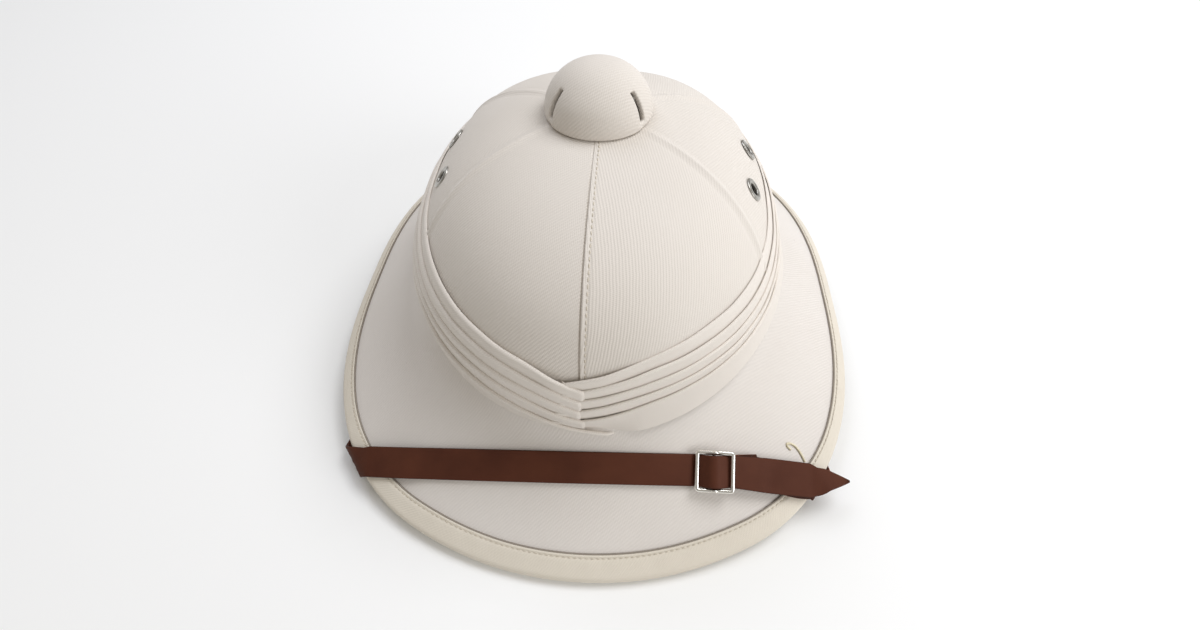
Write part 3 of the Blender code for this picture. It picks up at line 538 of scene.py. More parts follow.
@dataclass(frozen=True)
class Leather:
    """Vegetable-tanned cowhide, smooth and dyed right through, with its face darker in a band along the long
    edges.
    """

    name: str = "dyed vegetable-tanned leather"
    colour: str = "#563123"
    shade: str = "#4d2b1f"
    edge_band_colour: str = "#2a1712"
    edge: str = "#8a4a2e"
    grain_mm: float = 1.1111
    pore_mm: float = 0.76923
    cloud_mm: float = 18.1818
    relief: float = 0.22
    relief_depth: float = 0.00012

    def build(self) -> bpy.types.Material:
        """Make the material.

        Returns:
            A material whose cloth coordinates run along the strap and across it.
        """
        made, tree, skin = new_finish(self.name)
        grain = add_node(tree, "ShaderNodeTexNoise", {
            "Vector": skin, "Scale": 1000 / self.grain_mm, "Detail": 5.0, "Roughness": 0.6})
        pores = add_node(tree, "ShaderNodeTexVoronoi", {"Vector": skin, "Scale": 1000 / self.pore_mm})
        cloudy = add_node(tree, "ShaderNodeTexNoise", {
            "Vector": skin, "Scale": 1000 / self.cloud_mm, "Detail": 4.0})
        tone = add_node(tree, "ShaderNodeMapRange", {"Value": cloudy.outputs["Fac"], 1: 0.35, 2: 0.7})
        body = add_node(tree, "ShaderNodeMix", {
            0: tone.outputs["Result"], 6: hex_to_linear(self.colour), 7: hex_to_linear(self.shade)},
            data_type="RGBA")
        uv = add_node(tree, "ShaderNodeUVMap", uv_map=THREADS)
        split = add_node(tree, "ShaderNodeSeparateXYZ", {"Vector": uv.outputs["UV"]})
        # Face darker in a band along its long edges; the cut sides get a reddish colour.
        rim = add_node(tree, "ShaderNodeMath", {0: split.outputs["Y"]}, operation="ABSOLUTE")
        near = add_node(tree, "ShaderNodeMapRange", {
            "Value": rim.outputs[0], 1: 0.80, 2: 0.97, 3: 0.0, 4: 0.75})
        darker = add_node(tree, "ShaderNodeMix", {
            0: near.outputs["Result"], 6: body.outputs[2], 7: hex_to_linear(self.edge_band_colour)}, data_type="RGBA")
        side = add_node(tree, "ShaderNodeMapRange", {"Value": rim.outputs[0], 1: 1.0, 2: 1.02})
        cut = add_node(tree, "ShaderNodeMix", {
            0: side.outputs["Result"], 6: darker.outputs[2], 7: hex_to_linear(self.edge)}, data_type="RGBA")
        height = add_node(tree, "ShaderNodeMath", {
            0: pores.outputs["Distance"], 1: 0.5, 2: grain.outputs["Fac"]}, operation="MULTIPLY_ADD")
        bump = add_node(tree, "ShaderNodeBump", {
            "Strength": self.relief, "Distance": self.relief_depth, "Height": height.outputs[0]})
        gloss = add_node(tree, "ShaderNodeMapRange", {
            "Value": cloudy.outputs["Fac"], 1: 0.3, 2: 0.7, 3: 0.50, 4: 0.60})
        return shade(made, {
            "Base Color": cut.outputs[2], "Roughness": gloss.outputs["Result"],
            "Normal": bump.outputs["Normal"], "Specular IOR Level": 0.08})


@dataclass(frozen=True)
class Metal:
    """Plated or plain metal, with faint rubbed marks from handling."""

    name: str
    colour: str
    shade: str
    roughness_low: float
    roughness_high: float
    tarnish_mm: float = 2.38095
    rub_mm: float = 0.454545

    def build(self) -> bpy.types.Material:
        """Make the material.

        Returns:
            A metal material in Object coordinates.
        """
        made, tree, skin = new_finish(self.name)
        tarnish = add_node(tree, "ShaderNodeTexNoise", {
            "Vector": skin, "Scale": 1000 / self.tarnish_mm, "Detail": 4.0})
        rubs = add_node(tree, "ShaderNodeTexNoise", {
            "Vector": skin, "Scale": 1000 / self.rub_mm, "Detail": 2.0})
        tone = add_node(tree, "ShaderNodeMapRange", {"Value": tarnish.outputs["Fac"], 1: 0.45, 2: 0.75})
        colour = add_node(tree, "ShaderNodeMix", {
            0: tone.outputs["Result"], 6: hex_to_linear(self.colour), 7: hex_to_linear(self.shade)},
            data_type="RGBA")
        gloss = add_node(tree, "ShaderNodeMapRange", {
            "Value": tarnish.outputs["Fac"], 1: 0.3, 2: 0.7, 3: self.roughness_low, 4: self.roughness_high})
        bump = add_node(tree, "ShaderNodeBump", {
            "Strength": 0.03, "Distance": 0.00003, "Height": rubs.outputs["Fac"]})
        return shade(made, {
            "Base Color": colour.outputs[2], "Roughness": gloss.outputs["Result"],
            "Normal": bump.outputs["Normal"], "Metallic": 1.0})


@dataclass(frozen=True)
class Thread:
    """Spun sewing thread, a tight twist with a soft sheen."""

    name: str
    colour: str
    twist_mm: float = 0.384615
    twist_shade: float = 0.72

    def build(self) -> bpy.types.Material:
        """Make the material.

        Returns:
            A thread material with slight unevenness.
        """
        made, tree, skin = new_finish(self.name)
        twist = add_node(tree, "ShaderNodeTexNoise", {
            "Vector": skin, "Scale": 1000 / self.twist_mm, "Detail": 2.0})
        light = hex_to_linear(self.colour)
        dark = tuple(part * self.twist_shade for part in light[:3]) + (1.0,)
        tone = add_node(tree, "ShaderNodeMix", {
            0: twist.outputs["Fac"], 6: light, 7: dark}, data_type="RGBA")
        bump = add_node(tree, "ShaderNodeBump", {
            "Strength": 0.3, "Distance": 0.00008, "Height": twist.outputs["Fac"]})
        return shade(made, {
            "Base Color": tone.outputs[2], "Normal": bump.outputs["Normal"], "Roughness": 0.7})


# Geometry Nodes for what repeats or follows a path


class NodeTool:
    """Geometry Nodes trees that run along a line of points."""

    @staticmethod
    def line(name: str, points: np.ndarray, cyclic: bool = False) -> bpy.types.Object:
        """Make a poly curve object through points."""
        curve = bpy.data.curves.new(name, "CURVE")
        curve.dimensions = "3D"
        spline = curve.splines.new("POLY")
        spline.points.add(len(points) - 1)
        flat = np.concatenate([points, np.ones((len(points), 1))], axis=1)
        spline.points.foreach_set("co", flat.astype(np.float32).ravel())
        spline.use_cyclic_u = cyclic
        return new_object(name, curve)

    @staticmethod
    def new_tree(name: str, sizes: dict[str, float]) -> bpy.types.NodeTree:
        """Start a tree with a geometry input, named sizes and a material."""
        tree = bpy.data.node_groups.new(name, "GeometryNodeTree")
        tree.interface.new_socket("Geometry", in_out="INPUT", socket_type="NodeSocketGeometry")
        for label, value in sizes.items():
            socket = tree.interface.new_socket(label, in_out="INPUT", socket_type="NodeSocketFloat")
            socket.default_value = value
        tree.interface.new_socket("Finish", in_out="INPUT", socket_type="NodeSocketMaterial")
        tree.interface.new_socket("Geometry", in_out="OUTPUT", socket_type="NodeSocketGeometry")
        return tree

    @staticmethod
    def end_tree(tree: bpy.types.NodeTree, given: bpy.types.Node, shape: bpy.types.NodeSocket) -> None:
        """Make the instances real, smooth them, set the material and end the tree.

        Args:
            tree: Tree to end.
            given: Its group input.
            shape: Geometry that was made.
        """
        real = add_node(tree, "GeometryNodeRealizeInstances", {"Geometry": shape})
        soft = add_node(tree, "GeometryNodeSetShadeSmooth", {"Geometry": real.outputs[0]})
        dressed = add_node(tree, "GeometryNodeSetMaterial", {
            "Geometry": soft.outputs[0], "Material": given.outputs["Finish"]})
        add_node(tree, "NodeGroupOutput", {"Geometry": dressed.outputs[0]})

    @staticmethod
    def stitch_tree() -> bpy.types.NodeTree:
        """Tree that lays one short raised stitch at every pitch along a line.

        Returns:
            A tree with the sizes Pitch, Stitch length, Thread radius and Lean.
        """
        sizes = {"Pitch": 0.0026, "Stitch length": 0.0019, "Thread radius": 0.00028, "Lean": 0.0}
        tree = NodeTool.new_tree("stitch row", sizes)
        given = add_node(tree, "NodeGroupInput")
        spaced = add_node(tree, "GeometryNodeResampleCurve", {
            "Curve": given.outputs["Geometry"], "Length": given.outputs["Pitch"]}, mode="LENGTH")
        tangent = add_node(tree, "GeometryNodeInputTangent")
        turn = add_node(tree, "FunctionNodeAlignRotationToVector", {"Vector": tangent.outputs[0]}, axis="X")
        jitter = add_node(tree, "FunctionNodeRandomValue", {2: -0.12, 3: 0.12, "Seed": 7}, data_type="FLOAT")
        leaning = add_node(tree, "ShaderNodeMath", {
            0: given.outputs["Lean"], 1: jitter.outputs[1]}, operation="ADD")
        about = add_node(tree, "ShaderNodeCombineXYZ", {"Z": leaning.outputs[0]})
        tilted = add_node(tree, "FunctionNodeRotateRotation", {
            0: turn.outputs[0], 1: about.outputs[0]}, rotation_space="LOCAL")
        bead = add_node(tree, "GeometryNodeMeshUVSphere", {"Segments": 8, "Rings": 5, "Radius": 1.0})
        half = add_node(tree, "ShaderNodeMath", {
            0: given.outputs["Stitch length"], 1: 0.5}, operation="MULTIPLY")
        radius = given.outputs["Thread radius"]
        size = add_node(tree, "ShaderNodeCombineXYZ", {"X": half.outputs[0], "Y": radius, "Z": radius})
        shaped = add_node(tree, "GeometryNodeTransform", {
            "Geometry": bead.outputs["Mesh"], "Scale": size.outputs[0]})
        laid = add_node(tree, "GeometryNodeInstanceOnPoints", {
            "Points": spaced.outputs[0], "Instance": shaped.outputs[0], "Rotation": tilted.outputs[0]})
        NodeTool.end_tree(tree, given, laid.outputs[0])
        return tree

    @staticmethod
    def wire_tree() -> bpy.types.NodeTree:
        """Tree that sweeps a round wire along a line.

        Returns:
            A tree with the size Wire radius.
        """
        tree = NodeTool.new_tree("wire", {"Wire radius": 0.001})
        given = add_node(tree, "NodeGroupInput")
        ring = add_node(tree, "GeometryNodeCurvePrimitiveCircle", {
            "Resolution": 14, "Radius": given.outputs["Wire radius"]})
        swept = add_node(tree, "GeometryNodeCurveToMesh", {
            "Curve": given.outputs["Geometry"], "Profile Curve": ring.outputs[0], "Fill Caps": True})
        NodeTool.end_tree(tree, given, swept.outputs[0])
        return tree

    @staticmethod
    def run(line: bpy.types.Object, tree: bpy.types.NodeTree, finish: bpy.types.Material,
            sizes: dict[str, float]) -> bpy.types.Object:
        """Run a tree on a line and keep the result as a plain mesh.

        Args:
            line: Curve object to follow.
            tree: Tree to run.
            finish: Material that it sets.
            sizes: Named sizes that differ from the tree's own.

        Returns:
            A mesh object that takes the line's name.
        """
        modifier = line.modifiers.new(tree.name, "NODES")
        modifier.node_group = tree
        for item in tree.interface.items_tree:
            if item.item_type != "SOCKET" or item.in_out != "INPUT":
                continue
            if item.name in sizes:
                modifier[item.identifier] = float(sizes[item.name])
            elif item.name == "Finish":
                modifier[item.identifier] = finish
        made = MeshKit.bake(line)
        MeshKit.tidy(made.data, 1e-7)
        made.data.shade_smooth()
        return made


# Pieces


@dataclass
class Crown:
    """Six cloth panels over the stiff dome, with a lapped and topstitched seam in front."""

    form: HatForm
    cloth: bpy.types.Material
    thread: bpy.types.Material
    stitches: bpy.types.NodeTree
    lap_height: float = 0.0007
    lap_fade: float = 0.010
    stitch_from_seam: float = 0.0025
    ridge_height: float = 0.00085
    ridge_width: float = 0.0015
    unevenness: float = 0.0004
    stitch_pitch: float = 0.0027
    stitch_radius: float = 0.00026
    rows: int = 84
    inner_rows: int = 16
    thread_angles_deg: tuple[float, ...] = (30.0, 60.0, -32.0, -22.0, 60.0, 30.0)

    def azimuths(self) -> np.ndarray:
        """Even steps, with close ones beside each seam."""
        steps = np.arange(-180.0, 180.0, 1.25)
        near = np.array([0.12, 0.3, 0.5, 0.8, 1.2, 1.7, 2.2, 2.5, 2.9, 3.5, 4.5, 6.0]) / 1000
        close = np.degrees(np.concatenate([-near, [0.0], near]) / self.form.crown_front_reach)
        found = [steps[np.min(np.abs(steps[:, None] - np.array(self.form.seams() + [180.0])), axis=1) > 3.2]]
        for seam in self.form.seams():
            found.append(seam + close)
        merged = np.concatenate(found)
        merged = np.where(merged < -180.0, merged + 360.0, merged)
        return np.radians(np.unique(np.round(merged, 5)))

    def relief(self, azimuth: np.ndarray, level: np.ndarray) -> np.ndarray:
        """Height of the seams over the panels, and the slow unevenness of the shell."""
        around = np.linalg.norm(self.form.crown_point(azimuth, level)[..., :2]
                                - np.array([0.0, self.form.crown_centre_y]), axis=-1)
        total = np.zeros_like(around)
        for seam in self.form.seams():
            turn = (azimuth - math.radians(seam) + math.pi) % (2 * math.pi) - math.pi
            away = turn * around
            if seam == 0.0:
                lap = smoothstep(-0.00005, 0.00035, away) * np.exp(-np.maximum(away, 0.0) / self.lap_fade)
                sunk = bell(away - self.stitch_from_seam, 0.0005) * 0.35
                groove = bell(away + 0.0003, 0.00035) * 0.9
                total += self.lap_height * (lap - sunk - groove)
            else:
                beside = np.abs(away) - 2.2 * self.ridge_width
                total += self.ridge_height * (bell(away, self.ridge_width) - 0.3 * bell(beside, 0.0006))
        slow = self.unevenness * wander(azimuth / (2 * math.pi), 3, (3, 5, 8))
        return total * (1.0 - level**40) + slow * np.sin(math.pi * np.clip(level, 0, 1))

    def shell(self) -> bpy.types.Object:
        """Outer and inner faces of the dome as one closed skin."""
        azimuth = self.azimuths()
        levels = np.sin(np.linspace(0, math.pi / 2, self.rows))
        inner = np.sin(np.linspace(math.pi / 2, 0, self.inner_rows))
        a, l = np.meshgrid(azimuth, levels, indexing="ij")
        outside = self.form.crown_point(a, l)
        outside += self.form.crown_normal(a, l) * self.relief(a, l)[..., None] * (l < 0.9999)[..., None]
        b, m = np.meshgrid(azimuth, inner, indexing="ij")
        inside = self.form.crown_point(b, m, -self.form.crown_wall, self.form.crown_wall)
        points = np.concatenate([outside, inside], axis=1)
        blank = np.zeros((points.shape[0] + 1, points.shape[1] + 1, 2))
        made = MeshKit.sweep("crown_panels", points, blank, True)
        self.lay_threads(made)
        return made

    def lay_threads(self, made: bpy.types.Object) -> None:
        """Write the cloth coordinates of each face from the panel that its middle is on."""
        mesh = made.data
        count = len(mesh.loops)
        index = np.zeros(count, np.int32)
        mesh.loops.foreach_get("vertex_index", index)
        co = np.zeros(len(mesh.vertices) * 3, np.float32)
        mesh.vertices.foreach_get("co", co)
        co = co.reshape(-1, 3).astype(float)
        starts = np.zeros(len(mesh.polygons), np.int32)
        totals = np.zeros(len(mesh.polygons), np.int32)
        mesh.polygons.foreach_get("loop_start", starts)
        mesh.polygons.foreach_get("loop_total", totals)
        face = np.repeat(np.arange(len(starts)), totals)
        order = np.concatenate([np.arange(s, s + t) for s, t in zip(starts, totals)])
        face_of_loop = np.zeros(count, np.int64)
        face_of_loop[order] = face
        corner = co[index]
        middle = np.zeros((len(starts), 3))
        np.add.at(middle, face_of_loop, corner)
        middle /= totals[:, None]
        own = np.arctan2(middle[:, 0], self.form.crown_centre_y - middle[:, 1])[face_of_loop]
        panel = np.clip(np.searchsorted(np.radians(self.form.seams()), own, side="right") - 1, 0, 5)
        angle = np.radians(np.array(self.thread_angles_deg))[panel]
        centre = np.radians(np.array(self.form.seams() + [180.0]))
        centre = ((centre[:-1] + centre[1:]) / 2)[panel]
        sideways = corner[:, 0] * np.cos(centre) + corner[:, 1] * np.sin(centre)
        inward = corner[:, 1] * np.cos(centre) - corner[:, 0] * np.sin(centre)
        upward = (corner[:, 2] + inward) * math.sqrt(0.5)
        uv = np.stack([sideways * np.cos(angle) + upward * np.sin(angle),
                       upward * np.cos(angle) - sideways * np.sin(angle)], axis=-1)
        mesh.uv_layers[THREADS].data.foreach_set("uv", uv.astype(np.float32).ravel())

    def topstitch(self) -> bpy.types.Object:
        """Row of stitches beside the front seam."""
        levels = np.linspace(0.30, 0.998, 200)
        reach = self.form.crown_point(np.zeros_like(levels), levels)[:, 1] - self.form.crown_centre_y
        azimuth = self.stitch_from_seam / np.maximum(np.abs(reach), 0.01)
        path = self.form.crown_point(azimuth, levels)
        lift = self.relief(azimuth, levels) + 0.00012
        path += self.form.crown_normal(azimuth, levels) * lift[:, None]
        line = NodeTool.line("crown_topstitch", path)
        return NodeTool.run(line, self.stitches, self.thread, {
            "Pitch": self.stitch_pitch, "Stitch length": self.stitch_pitch * 0.74,
            "Thread radius": self.stitch_radius})

    def build(self, eyelets: "Eyelets") -> None:
        """Make the crown, cut its air holes and dress it."""
        shell = self.shell()
        for name in eyelets.azimuths():
            cutter = eyelets.cutter(name)
            boolean = shell.modifiers.new(cutter.name, "BOOLEAN")
            boolean.operation, boolean.solver, boolean.object = "DIFFERENCE", "EXACT", cutter
        MeshKit.bake(shell)
        for name in eyelets.azimuths():
            bpy.data.objects.remove(bpy.data.objects["cutter_" + name])
        MeshKit.smooth(shell, 50.0)
        MeshKit.place(shell, self.cloth, "crown_cloth", ("crown",))
        MeshKit.place(self.topstitch(), self.thread, "crown_cloth")


@dataclass
class Eyelets:
    """Pressed nickel eyelets that let air through the sides of the crown."""

    form: HatForm
    metal: bpy.types.Material
    azimuth_deg: float = 87.5
    spread_deg: float = 10.0
    height_z: float = 0.1045
    flange_radius: float = 0.0058
    barrel_radius: float = 0.0042
    hole_radius: float = 0.0031
    flange_thick: float = 0.0008
    seat_gap: float = 0.0001
    steps: int = 56

    def azimuths(self) -> dict[str, float]:
        """Azimuth of each eyelet by name."""
        front, back = self.azimuth_deg - self.spread_deg, self.azimuth_deg + self.spread_deg
        return {
            "eyelet_left_front": math.radians(-front),
            "eyelet_left_back": math.radians(-back),
            "eyelet_right_front": math.radians(front),
            "eyelet_right_back": math.radians(back),
        }

    def seat(self, azimuth: float) -> Matrix:
        """Frame of an eyelet, with its Z axis out of the crown."""
        spot = np.array(azimuth)
        level = self.form.crown_level(spot, np.array(self.height_z))
        place = Vector(self.form.crown_point(spot, level))
        out = Vector(self.form.crown_normal(spot, level))
        return Matrix.Translation(place) @ out.to_track_quat("Z", "Y").to_matrix().to_4x4()

    def cutter(self, name: str) -> bpy.types.Object:
        """Plain cylinder that cuts one air hole."""
        mesh = bpy.data.meshes.new("cutter_" + name)
        work = bmesh.new()
        radius = self.barrel_radius + self.form.clear
        bmesh.ops.create_cone(work, cap_ends=True, segments=32, radius1=radius, radius2=radius,
                              depth=self.form.crown_wall * 6, matrix=self.seat(self.azimuths()[name]))
        work.to_mesh(mesh)
        work.free()
        return new_object("cutter_" + name, mesh)

    def ring(self, name: str, azimuth: float) -> bpy.types.Object:
        """One eyelet, turned from a rounded profile."""
        seat = np.array(self.seat(azimuth))
        gap, thick = self.seat_gap, self.flange_thick
        middle = (self.hole_radius + self.flange_radius) / 2
        half = (self.flange_radius - self.hole_radius) / 2
        crest = [(middle - half * math.cos(t), gap + thick * (0.25 + 0.75 * math.sin(t) ** 0.8))
                 for t in np.linspace(0.0, math.pi, 15)]
        inside = -(self.form.crown_wall * 1.25)
        lower = [(self.flange_radius, gap), (self.barrel_radius, gap * 0.5), (self.barrel_radius, inside)]
        rolled = inside - thick * 0.5
        back = [(self.flange_radius * 0.9, inside), (self.flange_radius * 0.92, inside - thick * 0.25),
                (self.flange_radius * 0.88, rolled), (self.hole_radius * 1.05, rolled),
                (self.hole_radius, inside - thick * 0.3)]
        profile = np.array(crest + lower + back)
        turn = np.linspace(0, 2 * math.pi, self.steps, endpoint=False)
        radius, height = profile[:, 0], profile[:, 1]
        local = np.stack([radius[None] * np.cos(turn)[:, None], radius[None] * np.sin(turn)[:, None],
                          np.broadcast_to(height, (self.steps, len(height)))], axis=-1)
        points = local @ seat[:3, :3].T + seat[:3, 3]
        threads = np.zeros((self.steps + 1, len(profile) + 1, 2))
        made = MeshKit.sweep(name + "_ring", points, threads, True)
        MeshKit.smooth(made, 60.0)
        return made

    def build(self) -> None:
        """Make and dress the four eyelets."""
        for name, azimuth in self.azimuths().items():
            MeshKit.place(self.ring(name, azimuth), self.metal, "eyelet_metal", (name,))


@dataclass
class Brim:
    """Stiff brim covered in cloth, which rises a little where it meets the crown."""

    form: HatForm
    cloth: bpy.types.Material
    fillet_rise: float = 0.0034
    fillet_run: float = 0.0095
    unevenness: float = 0.00025
    thread_angle_deg: float = 52.0
    steps: int = 360
    rows: int = 44
    under_rows: int = 16

    def build(self) -> None:
        """Make the brim and dress it."""
        form = self.form
        azimuth = np.linspace(-math.pi, math.pi, self.steps, endpoint=False)
        lines = BrimLines(form, azimuth)
        half = form.brim_wall / 2
        base = form.crown_base(azimuth) - form.clear
        sway = self.unevenness * wander(azimuth / (2 * math.pi), 11, (2, 5, 7))
        loop = []
        for share in np.linspace(0.0, 1.0, self.rows) ** 1.25:
            spot = lines.offset(np.full(self.steps, max(share, 0.03)), half)
            out = lines.middle(np.full(self.steps, share))[0]
            near = np.maximum(0.0, 1.0 - np.maximum(out, 0.0) / self.fillet_run)
            if share < 0.03:
                spot = lines.at(np.full(self.steps, 0.0001), base)
                near = np.ones(self.steps)
            spot[:, 2] += self.fillet_rise * near**2.4
            spot[:, 2] += sway * math.sin(math.pi * share)
            loop.append(spot)
        for turn in (0.5, 0.0, -0.5):
            out, height = lines.middle(np.ones(self.steps))
            loop.append(lines.at(out + half * 0.5 * math.cos(turn), height + half * turn))
        for share in np.linspace(1.0, 0.16, self.under_rows):
            loop.append(lines.offset(np.full(self.steps, share), -half))
        loop.append(lines.at(np.full(self.steps, -form.crown_wall), base - form.brim_wall * 0.45))
        loop.append(lines.at(np.full(self.steps, -form.crown_wall), base))
        points = np.stack(loop, axis=1)
        plan = np.concatenate([points, points[:, :1]], axis=1)
        plan = np.concatenate([plan, plan[:1]], axis=0)[..., :2]
        turned = math.radians(self.thread_angle_deg)
        threads = np.stack([plan[..., 0] * math.cos(turned) - plan[..., 1] * math.sin(turned),
                            plan[..., 0] * math.sin(turned) + plan[..., 1] * math.cos(turned)], axis=-1)
        made = MeshKit.sweep("brim_cloth", points, threads, True)
        MeshKit.smooth(made, 50.0)
        MeshKit.place(made, self.cloth, "brim_cloth", ("brim",))


@dataclass
class Binding:
    """Cloth edging folded round the brim edge and sewn down along its inner edge; a dark grey-brown cord
    along that inner edge is painted shade of the groove.
    """

    form: HatForm
    cloth: bpy.types.Material
    thread: bpy.types.Material
    # Dark grey-brown cord finish: painted shade of the groove at the edging's inner edge.
    groove_shade: bpy.types.Material
    stitches: bpy.types.NodeTree
    wire: bpy.types.NodeTree
    groove_shade_radius: float = 0.00052
    width: float = 0.0095
    side_width: float = 0.0061
    stitch_inset: float = 0.0013
    stitch_pitch: float = 0.0026
    stitch_radius: float = 0.00024
    pucker: float = 0.00010
    steps: int = 540

    def start(self, lines: BrimLines, azimuth: np.ndarray) -> np.ndarray:
        """Share of the brim's width where the edging begins.

        Args:
            lines: Lines over the brim.
            azimuth: Angle of each line, 0 at the front.

        Returns:
            Shares, which leave the edging widest in front.
        """
        width = self.side_width + (self.width - self.side_width) * smoothstep(0.60, 0.95, np.cos(azimuth))
        return 1.0 - width / (lines.end_out - lines.start_out) * 0.85

    def build(self) -> None:
        """Make the edging, the dark cord of painted groove shade, and its row of stitches."""
        form = self.form
        azimuth = np.linspace(-math.pi, math.pi, self.steps, endpoint=False)
        lines = BrimLines(form, azimuth)
        radius, slip = form.nose_radius(), form.brim_wall / 2 + form.clear
        start = self.start(lines, azimuth)
        wide = 1.0 - start
        inset = self.stitch_inset / (lines.end_out - lines.start_out)
        pucker = self.pucker * wander(azimuth / (2 * math.pi), 5, (61, 83, 97))
        loop = []
        for share, height in ((0.0, slip + 0.0002), (0.012, radius - 0.00035), (0.05, radius - 0.00008)):
            loop.append(lines.offset(start + wide * share, height))
        seam = start + inset
        for step, sink in ((-0.00045, 0.00003), (-0.00018, 0.00018), (0.0, 0.00026), (0.00018, 0.00018),
                           (0.00045, 0.00003)):
            loop.append(lines.offset(seam + step / (lines.end_out - lines.start_out), radius - sink))
        for share in (0.28, 0.40, 0.55, 0.70, 0.85, 0.94):
            swell = (0.00018 + pucker) * math.sin(math.pi * share)
            loop.append(lines.offset(start + wide * share, radius + swell))
        out, height = lines.middle(np.ones(self.steps))
        across, upward = lines.normal(np.ones(self.steps))
        tilt = np.arctan2(across, upward)
        for turn in np.linspace(0.0, math.pi, 15):
            angle = tilt + turn
            loop.append(lines.at(out + radius * np.sin(angle), height + radius * np.cos(angle)))
        for share in (0.75, 0.5, 0.25, 0.03):
            loop.append(lines.offset(start + wide * share, -radius))
        loop.append(lines.offset(start, -slip - 0.0002))
        loop.append(lines.offset(start, -slip))
        loop.append(lines.offset(start + wide, -slip))
        loop.append(lines.offset(start + wide, slip))
        loop.append(lines.offset(start, slip))
        points = np.stack(loop, axis=1)
        points[..., 2] = np.maximum(points[..., 2], 0.00001)
        run = np.concatenate([[0.0], np.cumsum(np.linalg.norm(np.diff(points[0], axis=0), axis=-1)), [0.05]])
        around = np.linspace(0, 2 * math.pi, self.steps + 1) * form.brim_half_width
        u, v = np.meshgrid(around, run, indexing="ij")
        threads = np.stack([(u + v) * math.sqrt(0.5), (u - v) * math.sqrt(0.5)], axis=-1)
        made = MeshKit.sweep("brim_edging", points, threads, True)
        MeshKit.smooth(made, 60.0)
        MeshKit.place(made, self.cloth, "binding_cloth", ("brim_binding",))
        # Dark grey-brown cord laid along the edging's inner edge: painted shade of the groove, not a real
        # part.
        groove = NodeTool.line("edging_groove_shade", lines.offset(start, slip + 0.0002), cyclic=True)
        laid = NodeTool.run(groove, self.wire, self.groove_shade, {"Wire radius": self.groove_shade_radius})
        MeshKit.place(laid, self.groove_shade, "binding_cloth")
        line = NodeTool.line("edging_stitches", lines.offset(seam, radius - 0.00005), cyclic=True)
        row = NodeTool.run(line, self.stitches, self.thread, {
            "Pitch": self.stitch_pitch, "Stitch length": self.stitch_pitch * 0.72,
            "Thread radius": self.stitch_radius})
        MeshKit.place(row, self.thread, "binding_cloth")


